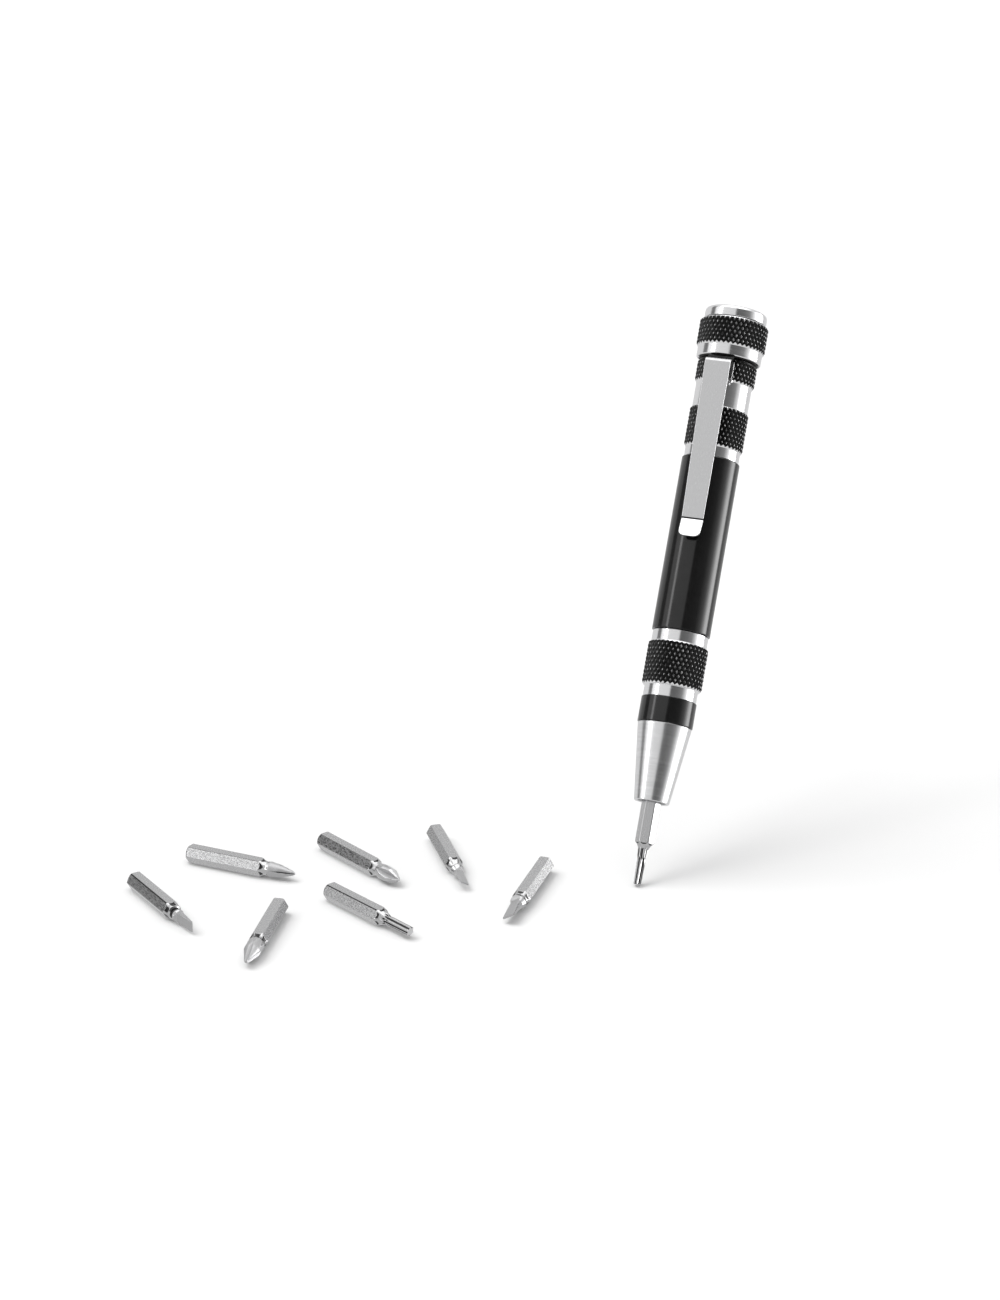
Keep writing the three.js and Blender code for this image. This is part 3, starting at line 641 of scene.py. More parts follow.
FRONT_COLLAR_BOTTOM = 44.4
RING_RADIUS = 6.62
FACE_GAP = 0.05

gloss_black = new_finish("gloss_black_anodising", 0, (0.10, 0.16), (0.004, 0.007), (0.5, 0.5, 0.9), 0.0012)
gloss_black.node_tree.nodes["Principled BSDF"].inputs["Specular IOR Level"].default_value = 0.6

gloss_ring = add_piece(
    "gloss_ring",
    turned(
        [
            (NOSE_SPIGOT_RADIUS + 0.3, CONE_TOP + FACE_GAP),
            (RING_RADIUS, CONE_TOP + FACE_GAP, 0.12),
            (RING_RADIUS, FRONT_COLLAR_BOTTOM - FACE_GAP, 0.12),
            (NOSE_SPIGOT_RADIUS + 0.3, FRONT_COLLAR_BOTTOM - FACE_GAP),
        ],
        loop=True,
    ),
    pen_place,
    [gloss_black],
)
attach(gloss_ring, "handle")
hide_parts("black_ring")


# ---------------------------------------------------------------- the front collar
# Turned from aluminium with a band of diamond knurling, anodised black all over. Both ends are then
# turned bright again, which leaves a toothed edge where the chamfers cut through the diamonds.

FRONT_KNURL_BOTTOM = 47.3
FRONT_KNURL_TOP = 57.7
BARREL_BOTTOM = 60.7
FRONT_BAND_RADIUS = 6.4
FRONT_KNURL_RADIUS = 7.22
FRONT_LIP_RADIUS = 6.65
SPIGOT_RADIUS = 6.1
SPIGOT_LENGTH = 5.0
STORAGE_RADIUS = 5.5
STORAGE_FLOOR = 56.0
DIAMOND_WIDTH = 1.2
DIAMOND_ANGLE = math.radians(30)
KNURL_DEPTH = 0.40
CREST_SHARE = 0.16
SHOULDER_SHARE = 0.30
SPOOL_RADIUS = 10.0

bright_aluminium = new_finish("bright_turned_aluminium", 1, (0.10, 0.20), (0.88, 0.93), (0.1, 0.1, 8), 0.0025)
knurl_black = new_finish("black_anodised_knurl", 0, (0.22, 0.38), (0.006, 0.014), (2, 2, 2), 0.01)
knurl_black.node_tree.nodes["Principled BSDF"].inputs["Specular IOR Level"].default_value = 0.22
knurl_crest = new_finish("rubbed_knurl_crests", 1, (0.14, 0.30), (0.02, 0.52), (1.3, 1.3, 1.3), 0.012)


def knurling_spool(radius, bottom, top, low_end, high_end):
    """A solid with diamond knurling between two heights, and wider than the pen everywhere else.
    What a collar keeps inside it is the knurled collar."""
    around = 2 * round(math.pi * radius / DIAMOND_WIDTH)
    half_angle = 2 * math.pi / (2 * around)
    row_height = radius * half_angle / math.tan(DIAMOND_ANGLE)
    first_row = -1
    last_row = math.ceil((top - bottom) / row_height) + 1
    corners = []
    faces = []
    numbers = []
    crossings = {}

    def at(column, row, reach):
        angle = column * half_angle
        height = bottom + row * row_height
        corners.append(Vector((reach * math.cos(angle), reach * math.sin(angle), height)))
        return len(corners) - 1

    def crossing(column, row):
        key = (column % (2 * around), row)
        if key not in crossings:
            crossings[key] = at(key[0], row, radius - KNURL_DEPTH)
        return crossings[key]

    for row in range(first_row + 1, last_row):
        for column in range(2 * around):
            if (column + row) % 2 == 0:
                continue
            sides = ((1, 0), (0, 1), (-1, 0), (0, -1))
            valley = [crossing(column + across, row + up) for across, up in sides]
            levels = [valley]
            for share, reach in ((SHOULDER_SHARE, radius - 0.05), (CREST_SHARE, radius)):
                levels.append([at(column + across * share, row + up * share, reach) for across, up in sides])
            for low, high, number in ((levels[0], levels[1], 1), (levels[1], levels[2], 2)):
                for side in range(4):
                    after = (side + 1) % 4
                    faces.append((low[side], low[after], high[after], high[side]))
                    numbers.append(number)
            faces.append(tuple(levels[2]))
            numbers.append(2)

    for edge_row, inner_row, end in ((first_row, first_row + 1, low_end), (last_row, last_row - 1, high_end)):
        edge = []
        for column in range(2 * around):
            row = edge_row if (column + edge_row) % 2 == 0 else inner_row
            edge.append(crossing(column, row))
        wall = [at(column, (end - bottom) / row_height, SPOOL_RADIUS) for column in range(2 * around)]
        rim = []
        for corner in edge:
            out = corners[corner].copy()
            stretch = SPOOL_RADIUS / math.hypot(out.x, out.y)
            corners.append(Vector((out.x * stretch, out.y * stretch, out.z)))
            rim.append(len(corners) - 1)
        middle = len(corners)
        corners.append(Vector((0, 0, end)))
        for here in range(2 * around):
            there = (here + 1) % (2 * around)
            faces.append((edge[here], edge[there], rim[there], rim[here]))
            faces.append((rim[here], rim[there], wall[there], wall[here]))
            faces.append((middle, wall[here], wall[there]))
            numbers += [0, 0, 0]
    return corners, faces, numbers


def knurled_piece(name, outline, bands, place):
    """A turned piece with bright metal where it is plain and knurled black in its bands."""
    finishes = [bright_aluminium, knurl_black, knurl_crest]
    piece = add_piece(name, turned(outline, loop=True), place, finishes)
    piece.modifiers.clear()
    heights = [point[1] for point in outline]
    for radius, bottom, top in bands:
        corners, faces, numbers = knurling_spool(radius, bottom, top, min(heights) - 3, max(heights) + 3)
        spool = add_piece("spool", (corners, faces), place, finishes, numbers)
        spool.modifiers.clear()
        keep = piece.modifiers.new("keep_inside", "BOOLEAN")
        keep.operation = "INTERSECT"
        keep.solver = "EXACT"
        keep.object = spool
        bpy.context.view_layer.update()
        made = bpy.data.meshes.new_from_object(piece.evaluated_get(bpy.context.evaluated_depsgraph_get()))
        piece.modifiers.clear()
        piece.data = made
        bpy.data.objects.remove(spool)
    shade(piece)
    return piece


front_collar = knurled_piece(
    "front_grip_collar",
    [
        (STORAGE_RADIUS, STORAGE_FLOOR),
        (NOSE_SPIGOT_RADIUS + 0.3, STORAGE_FLOOR - 0.8),
        (NOSE_SPIGOT_RADIUS + 0.3, FRONT_COLLAR_BOTTOM),
        (FRONT_BAND_RADIUS, FRONT_COLLAR_BOTTOM, 0.1),
        (FRONT_BAND_RADIUS, FRONT_KNURL_BOTTOM - 0.2, 0.08),
        (FRONT_KNURL_RADIUS - KNURL_DEPTH, FRONT_KNURL_BOTTOM),
        (FRONT_KNURL_RADIUS + 0.05, FRONT_KNURL_BOTTOM + 0.85),
        (FRONT_KNURL_RADIUS + 0.05, FRONT_KNURL_TOP - 0.4),
        (FRONT_LIP_RADIUS, FRONT_KNURL_TOP + 0.1, 0.08),
        (FRONT_LIP_RADIUS, BARREL_BOTTOM - FACE_GAP - 0.3, 0.04),
        (FRONT_LIP_RADIUS - 0.25, BARREL_BOTTOM - FACE_GAP),
        (SPIGOT_RADIUS, BARREL_BOTTOM - FACE_GAP),
        (SPIGOT_RADIUS, BARREL_BOTTOM + SPIGOT_LENGTH),
        (STORAGE_RADIUS, BARREL_BOTTOM + SPIGOT_LENGTH),
    ],
    [(FRONT_KNURL_RADIUS, FRONT_KNURL_BOTTOM, FRONT_KNURL_TOP)],
    pen_place,
)
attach(front_collar, "handle")
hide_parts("front_collar")


# ---------------------------------------------------------------- the barrel
# An aluminium tube anodised gloss black, hollow to hold the spare bits. It is bored at both ends for
# the spigots of the two collars.

BARREL_TOP = 103.0
BARREL_RADIUS = 6.98
BARREL_SOCKET_RADIUS = 6.35

barrel = add_piece(
    "gloss_barrel",
    turned(
        [
            (BARREL_SOCKET_RADIUS, BARREL_BOTTOM),
            (BARREL_RADIUS, BARREL_BOTTOM, 0.14),
            (BARREL_RADIUS, BARREL_TOP, 0.22),
            (BARREL_SOCKET_RADIUS, BARREL_TOP),
            (BARREL_SOCKET_RADIUS, BARREL_TOP - SPIGOT_LENGTH - 0.3),
            (STORAGE_RADIUS, BARREL_TOP - SPIGOT_LENGTH - 0.3),
            (STORAGE_RADIUS, BARREL_BOTTOM + SPIGOT_LENGTH + 0.3),
            (BARREL_SOCKET_RADIUS, BARREL_BOTTOM + SPIGOT_LENGTH + 0.3),
        ],
        loop=True,
    ),
    pen_place,
    [gloss_black],
)
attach(barrel, "handle")
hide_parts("barrel")


# ---------------------------------------------------------------- the rear collar
# Made like the front collar, with two knurled bands and a polished waist between them. It is open
# right through, and the cap screws into its rear end.

REAR_KNURL_BOTTOM = 105.7
REAR_KNURL_TOP = 115.3
WAIST_TOP = 121.7
REAR_COLLAR_TOP = 126.7
REAR_LIP_RADIUS = 6.6
REAR_KNURL_RADIUS = 7.1
WAIST_RADIUS = 6.7
UPPER_KNURL_RADIUS = 7.22
THREAD_LENGTH = 5.8

rear_collar = knurled_piece(
    "rear_grip_collar",
    [
        (STORAGE_RADIUS, BARREL_TOP - SPIGOT_LENGTH),
        (SPIGOT_RADIUS, BARREL_TOP - SPIGOT_LENGTH),
        (SPIGOT_RADIUS, BARREL_TOP + FACE_GAP),
        (REAR_LIP_RADIUS - 0.1, BARREL_TOP + FACE_GAP),
        (REAR_LIP_RADIUS, BARREL_TOP + FACE_GAP + 0.15, 0.05),
        (REAR_LIP_RADIUS, REAR_KNURL_BOTTOM - 0.15, 0.06),
        (REAR_KNURL_RADIUS - KNURL_DEPTH, REAR_KNURL_BOTTOM),
        (REAR_KNURL_RADIUS + 0.05, REAR_KNURL_BOTTOM + 0.8),
        (REAR_KNURL_RADIUS + 0.05, REAR_KNURL_TOP - 0.4),
        (WAIST_RADIUS, REAR_KNURL_TOP + 0.05, 0.1),
        (WAIST_RADIUS, WAIST_TOP - 0.15, 0.06),
        (UPPER_KNURL_RADIUS - KNURL_DEPTH, WAIST_TOP),
        (UPPER_KNURL_RADIUS + 0.05, WAIST_TOP + 0.8),
        (UPPER_KNURL_RADIUS + 0.05, REAR_COLLAR_TOP),
        (STORAGE_RADIUS + 0.3, REAR_COLLAR_TOP),
        (STORAGE_RADIUS + 0.3, REAR_COLLAR_TOP - THREAD_LENGTH),
        (STORAGE_RADIUS, REAR_COLLAR_TOP - THREAD_LENGTH - 0.3),
    ],
    [
        (REAR_KNURL_RADIUS, REAR_KNURL_BOTTOM, REAR_KNURL_TOP),
        (UPPER_KNURL_RADIUS, WAIST_TOP, REAR_COLLAR_TOP),
    ],
    pen_place,
)
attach(rear_collar, "handle")
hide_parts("rear_collar")


# ---------------------------------------------------------------- the rubber ring under the cap
# A black nitrile O-ring round the cap's thread. It is squeezed against the clip when the cap is
# screwed home.

O_RING_RADIUS = 6.55
O_RING_SECTION_RADIUS = 0.6
O_RING_HEIGHT = SKIRT_BOTTOM + 0.45
O_RING_AROUND_SECTION = 20

nitrile = new_finish("black_nitrile_rubber", 0, (0.55, 0.75), (0.012, 0.022), (3, 3, 3), 0.006)

o_ring_section = []
for section_step in range(O_RING_AROUND_SECTION):
    section_angle = 2 * math.pi * section_step / O_RING_AROUND_SECTION
    o_ring_section.append(
        (
            O_RING_RADIUS + O_RING_SECTION_RADIUS * math.cos(section_angle),
            O_RING_HEIGHT + O_RING_SECTION_RADIUS * math.sin(section_angle),
        )
    )
o_ring = add_piece("rubber_o_ring", turned(o_ring_section, loop=True), pen_place, [nitrile])
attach(o_ring, "seal")
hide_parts("cap_o_ring")


# ---------------------------------------------------------------- the cap
# A knurled aluminium cap, anodised black with a skirt turned bright. Its hollow stud screws into
# the rear collar, and a web inside it carries the swivel top.

CAP_KNURL_BOTTOM = 130.4
CAP_TOP = 137.2
SKIRT_RADIUS = 7.8
CAP_KNURL_RADIUS = 8.32
CAP_HOLLOW_TOP = 133.0
STUD_BORE_RADIUS = 4.3
PIN_BORE_RADIUS = 1.8
THREAD_PITCH = 1.0

stud_outline = []
thread_bottom = SKIRT_BOTTOM - THREAD_LENGTH + 0.4
for thread_turn in range(5):
    ridge = thread_bottom + 0.4 + thread_turn * THREAD_PITCH
    stud_outline += [
        (STORAGE_RADIUS - 0.35, ridge - 0.35),
        (STORAGE_RADIUS - 0.02, ridge - 0.06),
        (STORAGE_RADIUS - 0.02, ridge + 0.06),
        (STORAGE_RADIUS - 0.35, ridge + 0.35),
    ]

cap = knurled_piece(
    "knurled_cap",
    [
        (STUD_BORE_RADIUS, SKIRT_BOTTOM - THREAD_LENGTH),
        (STORAGE_RADIUS - 0.4, SKIRT_BOTTOM - THREAD_LENGTH),
        *stud_outline,
        (STORAGE_RADIUS - 0.35, SKIRT_BOTTOM + 1.2),
        (O_RING_RADIUS + O_RING_SECTION_RADIUS + 0.25, SKIRT_BOTTOM + 1.2),
        (O_RING_RADIUS + O_RING_SECTION_RADIUS + 0.25, SKIRT_BOTTOM + 0.1),
        (SKIRT_RADIUS - 0.25, SKIRT_BOTTOM, 0.06),
        (SKIRT_RADIUS, SKIRT_BOTTOM + 0.2, 0.08),
        (SKIRT_RADIUS, CAP_KNURL_BOTTOM - 0.15, 0.08),
        (CAP_KNURL_RADIUS - KNURL_DEPTH, CAP_KNURL_BOTTOM),
        (CAP_KNURL_RADIUS + 0.05, CAP_KNURL_BOTTOM + 0.8),
        (CAP_KNURL_RADIUS + 0.05, CAP_TOP - 0.55),
        (CAP_KNURL_RADIUS - 0.55, CAP_TOP),
        (PIN_BORE_RADIUS, CAP_TOP),
        (PIN_BORE_RADIUS, CAP_HOLLOW_TOP),
        (STUD_BORE_RADIUS, CAP_HOLLOW_TOP),
    ],
    [(CAP_KNURL_RADIUS, CAP_KNURL_BOTTOM, CAP_TOP)],
    pen_place,
)
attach(cap, "cap")
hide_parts("end_cap")


# ---------------------------------------------------------------- the swivel top and its pin
# A bright turned disc with a rounded rim, which stays still under a fingertip while the pen turns.
# A steel pin pressed into it is headed inside the cap.

PEN_TOP = 140.1
SWIVEL_RADIUS = 7.5
SWIVEL_RIM_ROUND = 1.0
PIN_RADIUS = 1.5
PIN_HEAD_RADIUS = 2.8

swivel_top = add_piece(
    "swivel_disc",
    turned(
        [
            (PIN_BORE_RADIUS, CAP_TOP + 1.7),
            (PIN_BORE_RADIUS, CAP_TOP + 0.3),
            (SWIVEL_RADIUS, CAP_TOP + 0.3, 0.12),
            (SWIVEL_RADIUS, PEN_TOP, SWIVEL_RIM_ROUND),
            (4.0, PEN_TOP),
            (2.0, PEN_TOP - 0.04),
            (0.4, PEN_TOP - 0.08),
        ]
    ),
    pen_place,
    [bright_aluminium],
)
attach(swivel_top, "swivel")
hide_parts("swivel_top")

swivel_pin = add_piece(
    "swivel_rivet",
    turned(
        [
            (0.5, CAP_HOLLOW_TOP - 1.3),
            (PIN_HEAD_RADIUS, CAP_HOLLOW_TOP - 1.3, 0.4),
            (PIN_HEAD_RADIUS, CAP_HOLLOW_TOP - 0.3, 0.1),
            (PIN_RADIUS, CAP_HOLLOW_TOP - 0.3),
            (PIN_RADIUS, CAP_TOP + 1.35, 0.15),
            (0.5, CAP_TOP + 1.4),
        ]
    ),
    pen_place,
    [socket_steel],
)
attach(swivel_pin, "swivel")
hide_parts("swivel_pin")


# ---------------------------------------------------------------- the pocket clip
# One strip of spring steel with a ring at its top end that the cap clamps. It is bent over, stiffened
# by two side flanges, and flared at its foot so that it slides over a pocket's edge.

CLIP_SHEET = 0.6
CLIP_HALF_WIDTH_TOP = 3.1
CLIP_FLANGE_OUTSIDE = 3.28
CLIP_HALF_WIDTH_FOOT = 2.63
CLIP_TOP_REACH = 10.38
CLIP_CREASE_REACH = 8.4
CLIP_FOOT_REACH = 9.5
CLIP_RING_BOTTOM = 126.8
CLIP_RING_TOP = 127.3
CLIP_FLANGE_BOTTOM = 121.3
CLIP_FLANGE_REACH = 6.95
CLIP_CREASE = 87.0
CLIP_FOOT = 82.5
CLIP_BEND = 0.95
CLIP_STEP_DOWN = 1.25
CLIP_CREASE_HALF_WIDTH = 0.26
CLIP_CREASE_DIP = 0.08
CLIP_FOOT_CORNER = 1.4
CLIP_EDGE_ROUND = 0.13

brushed_steel = new_finish("brushed_clip_steel", 1, (0.20, 0.28), (0.67, 0.73), (14, 1.2, 1), 0.001, "UV")
# A lighter copy of the clip steel, painted highlight on the strip's edges, bend, foot and ends and on the
# flanges' rolled edges.
clip_highlight_steel = new_finish("painted_highlight_clip_steel", 1, (0.12, 0.20), (0.86, 0.94), (4, 4, 1), 0.001, "UV")
# A near-black copy of the clip steel, painted shade on the crease, the top's flat run, one side face and the
# inner face of the strip, the ring and the flanges.
shaded_steel = new_finish("painted_shade_clip_steel", 1, (0.3, 0.4), (0.012, 0.03), (2, 2, 1), 0.002, "UV")
CLIP_FINISHES = [brushed_steel, clip_highlight_steel, shaded_steel]
BRUSHED, CLIP_HIGHLIGHT, SHADED = range(3)


def clip_half_width(height):
    """Half the strip's width at a height: parallel, then tapering, then rounded off at the foot."""
    taper = min(max((height - CLIP_CREASE) / (CLIP_FLANGE_BOTTOM - CLIP_CREASE), 0), 1)
    half = CLIP_HALF_WIDTH_FOOT + (CLIP_HALF_WIDTH_TOP - CLIP_HALF_WIDTH_FOOT) * taper
    to_end = max(height - CLIP_FOOT, 0)
    if to_end < CLIP_FOOT_CORNER:
        inset = CLIP_FOOT_CORNER - math.sqrt(CLIP_FOOT_CORNER**2 - (CLIP_FOOT_CORNER - to_end) ** 2)
        half -= inset
    return half


def clip_path():
    """Where the middle of the sheet runs, as reach from the pen's axis and height."""
    middle = CLIP_SHEET / 2
    corners = [
        (UPPER_KNURL_RADIUS - 0.6, CLIP_RING_TOP - middle),
        (UPPER_KNURL_RADIUS + 0.3, CLIP_RING_TOP - middle, 0.4),
        (UPPER_KNURL_RADIUS + 1.3, CLIP_RING_TOP - middle - CLIP_STEP_DOWN, 0.4),
        (CLIP_TOP_REACH - middle, CLIP_RING_TOP - middle - CLIP_STEP_DOWN, CLIP_BEND - middle),
        (CLIP_CREASE_REACH - middle, CLIP_CREASE + CLIP_CREASE_HALF_WIDTH),
        (CLIP_CREASE_REACH - middle - CLIP_CREASE_DIP, CLIP_CREASE),
        (CLIP_CREASE_REACH - middle, CLIP_CREASE - CLIP_CREASE_HALF_WIDTH),
        (CLIP_FOOT_REACH - middle, CLIP_FOOT),
    ]
    path = []
    rounded = eased(corners)
    for low, high in zip(rounded, rounded[1:]):
        pieces = max(1, round((high - low).length / 1.2))
        if min(low.y, high.y) < CLIP_FOOT + 2:
            pieces = 24
        for piece in range(pieces):
            path.append(low.lerp(high, piece / pieces))
    path.append(rounded[-1])
    return path


def clip_section(half_width, half_sheet):
    """The strip's section across its width: a flat rectangle with rounded corners."""
    section = []
    for side_sign, face_sign, start_angle in ((1, 1, 0), (-1, 1, 90), (-1, -1, 180), (1, -1, 270)):
        for step in range(4):
            angle = math.radians(start_angle + 30 * step)
            section.append(
                (
                    side_sign * (half_width - CLIP_EDGE_ROUND) + CLIP_EDGE_ROUND * math.cos(angle),
                    face_sign * (half_sheet - CLIP_EDGE_ROUND) + CLIP_EDGE_ROUND * math.sin(angle),
                )
            )
    return section


clip_corners = []
clip_faces = []
clip_numbers = []


def add_to_clip(shape, numbers):
    start = len(clip_corners)
    clip_corners.extend(shape[0])
    clip_faces.extend(tuple(start + corner for corner in face) for face in shape[1])
    clip_numbers.extend(numbers)


strip_rings = []
path = clip_path()
for index, point in enumerate(path):
    ahead = path[min(index + 1, len(path) - 1)]
    behind = path[max(index - 1, 0)]
    along = (ahead - behind).normalized()
    outward = Vector((-along.y, along.x))
    ring = []
    for across, out in clip_section(clip_half_width(point.y), CLIP_SHEET / 2):
        spot = point + outward * out
        ring.append(Vector((-spot.x, across, spot.y)))
    strip_rings.append(ring)
strip_shape = skin(strip_rings)
STRIP_COLUMNS = 16
OUTER_FACE = 3
SHADED_COLUMNS = (7, 8, 11)
strip_numbers = []
for ring_index in range(len(strip_rings) - 1):
    middle_height = (path[ring_index].y + path[ring_index + 1].y) / 2
    in_crease = abs(middle_height - CLIP_CREASE) < CLIP_CREASE_HALF_WIDTH
    on_foot = middle_height < CLIP_CREASE
    on_top = -strip_rings[ring_index + 1][OUTER_FACE].x < CLIP_TOP_REACH - CLIP_BEND
    on_top = on_top and not on_foot and middle_height > CLIP_FLANGE_BOTTOM
    for column in range(STRIP_COLUMNS):
        # The crease, the top's flat run, one side face and the inner face of the strip get painted shade.
        if in_crease or on_top or column in SHADED_COLUMNS:
            strip_numbers.append(SHADED)
        elif column == OUTER_FACE and not on_foot:
            strip_numbers.append(BRUSHED)
        # Everything else on the strip, its edges, bend and foot, gets painted highlight.
        else:
            strip_numbers.append(CLIP_HIGHLIGHT)
# Both ends of the strip get painted highlight.
strip_numbers += [CLIP_HIGHLIGHT] * STRIP_COLUMNS * 2
add_to_clip(strip_shape, strip_numbers)

clip_ring_shape = turned(
    [
        (STORAGE_RADIUS + 0.3, CLIP_RING_BOTTOM),
        (UPPER_KNURL_RADIUS - 0.45, CLIP_RING_BOTTOM, 0.1),
        (UPPER_KNURL_RADIUS - 0.45, CLIP_RING_TOP, 0.1),
        (STORAGE_RADIUS + 0.3, CLIP_RING_TOP),
    ],
    loop=True,
)
# The clip's ring gets painted shade.
add_to_clip(clip_ring_shape, [SHADED] * len(clip_ring_shape[1]))


def flange_ring(across, inset):
    """One side flange's outline seen from the side, drawn in by a little at its faces."""
    top = CLIP_RING_TOP - CLIP_STEP_DOWN - CLIP_SHEET / 2
    slope = (CLIP_TOP_REACH - CLIP_CREASE_REACH) / (CLIP_RING_TOP - CLIP_CREASE)
    outer_low = CLIP_TOP_REACH - (CLIP_RING_TOP - CLIP_FLANGE_BOTTOM) * slope - 0.25
    outline = eased(
        [
            (CLIP_FLANGE_REACH + inset, CLIP_FLANGE_BOTTOM + inset, 0.5),
            (outer_low - inset, CLIP_FLANGE_BOTTOM + inset, 0.15),
            (CLIP_TOP_REACH - 0.25 - inset, top - 1.2 - inset, 0.3),
            (CLIP_TOP_REACH - 1.6 - inset, top - inset, 0.3),
            (CLIP_FLANGE_REACH + inset, top - inset, 0.2),
        ]
    )
    return [Vector((-point.x, across, point.y)) for point in outline]


for side in (-1, 1):
    outer = side * CLIP_FLANGE_OUTSIDE
    inner = side * (CLIP_FLANGE_OUTSIDE - CLIP_SHEET + 0.1)
    ease = side * 0.2
    flange_shape = skin(
        [
            flange_ring(outer, 0.2),
            flange_ring(outer - ease, 0),
            flange_ring(inner + ease, 0),
            flange_ring(inner, 0.1),
        ]
    )
    # The side flanges get painted shade.
    add_to_clip(flange_shape, [SHADED] * len(flange_shape[1]))
    rolled_edge = turned(
        [
            (0.06, CLIP_FLANGE_BOTTOM - 0.35),
            (0.34, CLIP_FLANGE_BOTTOM - 0.30, 0.1),
            (0.36, CLIP_FLANGE_BOTTOM + 0.35, 0.1),
            (0.10, CLIP_FLANGE_BOTTOM + 0.6),
            (0.10, CLIP_RING_BOTTOM - 1.3),
            (0.03, CLIP_RING_BOTTOM - 0.9),
        ],
        steps=16,
    )
    edge_place = Vector((-CLIP_FLANGE_REACH - 0.25, outer, 0))
    placed_edge = [corner + edge_place for corner in rolled_edge[0]]
    # The rolled edges of the flanges get painted highlight.
    add_to_clip((placed_edge, rolled_edge[1]), [CLIP_HIGHLIGHT] * len(rolled_edge[1]))

clip = add_piece("pocket_clip", (clip_corners, clip_faces), pen_place, CLIP_FINISHES, clip_numbers)
sheet_map = clip.data.uv_layers.new(name="sheet")
for loop in clip.data.loops:
    corner = clip.data.vertices[loop.vertex_index].co
    sheet_map.data[loop.index].uv = (corner.y / MM, corner.z / MM)
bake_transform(clip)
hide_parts("clip_ring", "clip_leaf")


# ---------------------------------------------------------------- the seven loose bits
# Cut from the same plated hexagon bar as the bit in the nose: three slotted blades milled on two
# sides, three cross tips with four flutes, and one star. Each lies on a flat of its shank.


def blade(length, edge, root):
    """Two sides milled down towards the tip, with a round run-out where the cutter leaves."""

    def cut(angle, height, radius):
        half = edge / 2 + (root - edge / 2) * height / length
        past = max(height - length, 0)
        half += past * past * 1.6
        return half / max(abs(math.sin(angle)), 1e-6)

    return cut


def cross_flutes(point_depth, rise, curve, opening, start):
    """Four V flutes that get shallower away from the point."""
    half_opening = math.radians(opening)

    def cut(angle, height, radius):
        depth = point_depth + rise * height + curve * height * height
        turn = abs((angle - math.radians(start) + math.pi / 4) % (math.pi / 2) - math.pi / 4)
        if turn >= half_opening - 0.02:
            return radius
        return depth * math.sin(half_opening) / math.sin(half_opening - turn)

    return cut


def loose_bit_place(node, heading, roll):
    """Where a loose bit's tip is, from its CAD node: +Z runs back along the bit from its tip."""
    forward = Vector((math.cos(math.radians(heading)), math.sin(math.radians(heading)), 0))
    sideways = Vector((-forward.y, forward.x, 0))
    corners = [vertex.co for vertex in frame["nodes"][node].data.vertices]
    tip = max(corner.dot(forward) for corner in corners)
    back = min(corner.dot(forward) for corner in corners)
    back_end = [corner.dot(sideways) for corner in corners if corner.dot(forward) < back + 0.1 * MM]
    middle = (min(back_end) + max(back_end)) / 2
    tip_point = forward * tip + sideways * middle + Vector((0, 0, HALF_FLATS * MM))
    turn = Matrix((Vector((0, 0, 1)), sideways, -forward)).transposed().to_4x4()
    return Matrix.Translation(tip_point) @ turn @ Matrix.Rotation(math.radians(roll), 4, "Z")


slotted_end = [
    (1.30, 0.0),
    (1.30, 6.1, 0.1),
    (1.50, 6.5, 0.12),
    (1.42, 6.95, 0.12),
    (1.02, 7.35, 0.15),
    (1.05, 7.75, 0.15),
    (1.85, 8.35, 0.5),
    (1.95, 9.4, 0.5),
]
narrow_end = [
    (1.00, 0.0),
    (1.05, 5.9, 0.3),
    (1.60, 6.9, 0.12),
    (1.55, 7.3, 0.12),
    (1.10, 7.7, 0.15),
    (1.30, 8.2, 0.15),
    (1.90, 9.3, 0.3),
    (2.05, 9.8, 0.2),
]
wide_end = [
    (1.45, 0.0),
    (1.48, 6.2, 0.3),
    (1.90, 7.2, 0.2),
    (1.80, 7.9, 0.2),
    (1.70, 8.3, 0.2),
    (1.95, 9.0, 0.2),
]
fine_cross_end = [
    (0.25, 0.0),
    (0.65, 0.7, 0.3),
    (1.50, 3.8, 1.6),
    (1.80, 6.2, 0.8),
    (1.66, 7.2, 0.3),
    (1.74, 7.7, 0.2),
    (1.85, 8.2, 0.2),
]
winged_cross_end = [
    (0.30, 0.0),
    (0.80, 0.6, 0.3),
    (1.90, 2.8, 0.6),
    (1.96, 5.2, 1.0),
    (1.60, 6.9, 0.4),
    (1.65, 7.6, 0.2),
    (1.92, 8.2, 0.2),
]
plain_cross_end = [
    (0.35, 0.0),
    (0.80, 0.9, 0.4),
    (1.95, 4.8, 1.2),
    (2.05, 8.0, 0.5),
    (1.85, 8.8, 0.2),
    (1.80, 9.3, 0.2),
]
loose_star_end = [
    (1.12, 0.0),
    (1.22, 0.12, 0.08),
    (1.25, 7.3, 0.3),
    (1.45, 8.0, 0.3),
    (1.55, 8.7, 0.2),
    (1.85, 9.3, 0.3),
]

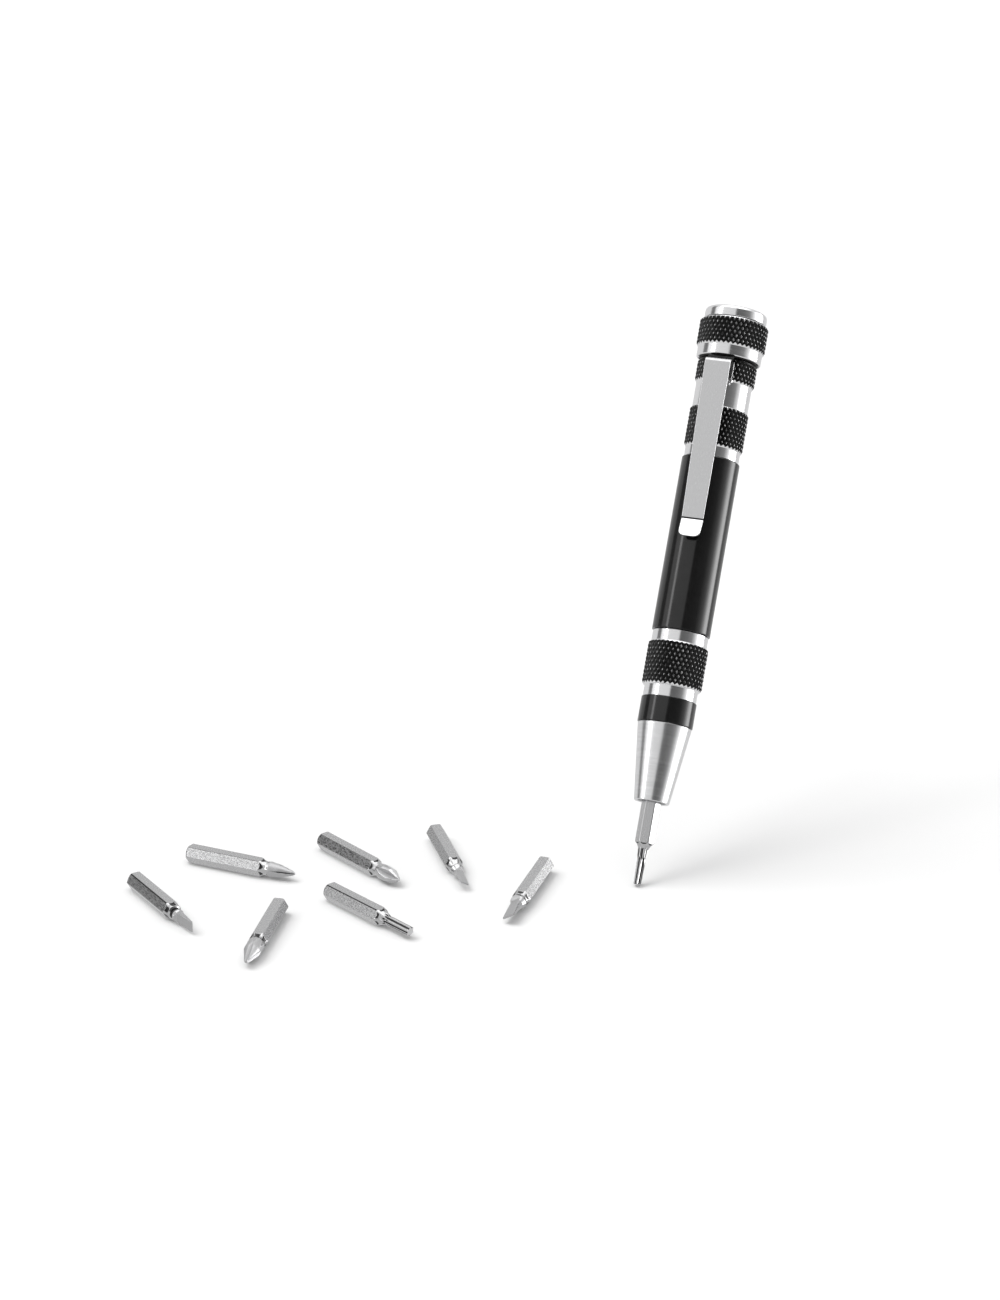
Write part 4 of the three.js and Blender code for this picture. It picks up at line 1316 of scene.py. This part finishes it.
# Each bit: its CAD node, its body, where its tip points and which flat it lies on in degrees, its
# turned working end, where the full hexagon starts, how the working end is cut, how deep a cut must
# be to get painted shade in millimetres, and the finishes that differ: painted highlight and painted
# shade lines along edges, flats painted lighter or darker as light and shade, drawn streaks and
# milled points.
loose_bits = [
    (
        "bit_slotted", "loose_slotted", -57, 0, slotted_end, 9.7, blade(5.6, 0.4, 0.72), None,
        {300: DRAWN, 330: (4, PAINTED_SHADE)},
    ),
    (
        "bit_slotted_narrow", "loose_slotted_narrow", -74.5, 120, narrow_end, 10.0,
        blade(5.6, 0.35, 0.7), None, {180: SHADED_FACET},
    ),
    (
        "bit_slotted_wide", "loose_slotted_wide", -108.5, 60, wide_end, 9.4, blade(6.6, 0.45, 0.95), None,
        {0: LIT_FACET},
    ),
    (
        "bit_cross_fine", "loose_cross_fine", -23, 0, fine_cross_end, 8.5,
        cross_flutes(0.22, 0.19, 0.012, 32, 12), FINE_CROSS_SHADE_CUT_DEPTH,
        {"point": MILLED, 300: LIT_FACET, 330: (3, PAINTED_SHADE)},
    ),
    (
        "bit_cross_winged", "loose_cross_winged", -48, 0, winged_cross_end, 8.5,
        cross_flutes(0.3, 0.12, 0.012, 46, -55), None, {300: DEEP_SHADED_FACET, 330: (3, PAINTED_SHADE)},
    ),
    (
        "bit_cross", "loose_cross", -103, 0, plain_cross_end, 10.0,
        cross_flutes(0.22, 0.2, 0.02, 56, 0), None, {"point": MILLED, 60: SATIN},
    ),
    (
        "bit_star", "loose_star", -46, 0, loose_star_end, 9.9,
        star_flutes(0.32, 7.2, 0.25, 8.0), STAR_SHADE_CUT_DEPTH, {300: SHADED_FACET, 330: (6, PAINTED_SHADE)},
    ),
]
for node, body, heading, roll, working_end, shank_start, cut, shade_cut_depth, flats in loose_bits:
    loose_shape, loose_finishes = bit_shape(working_end, shank_start, cut, flats, shade_cut_depth)
    place = loose_bit_place(node, heading, roll)
    loose_bit = add_piece("loose_" + node, loose_shape, place, BIT_FINISHES, loose_finishes)
    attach(loose_bit, body)
    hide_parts(node)
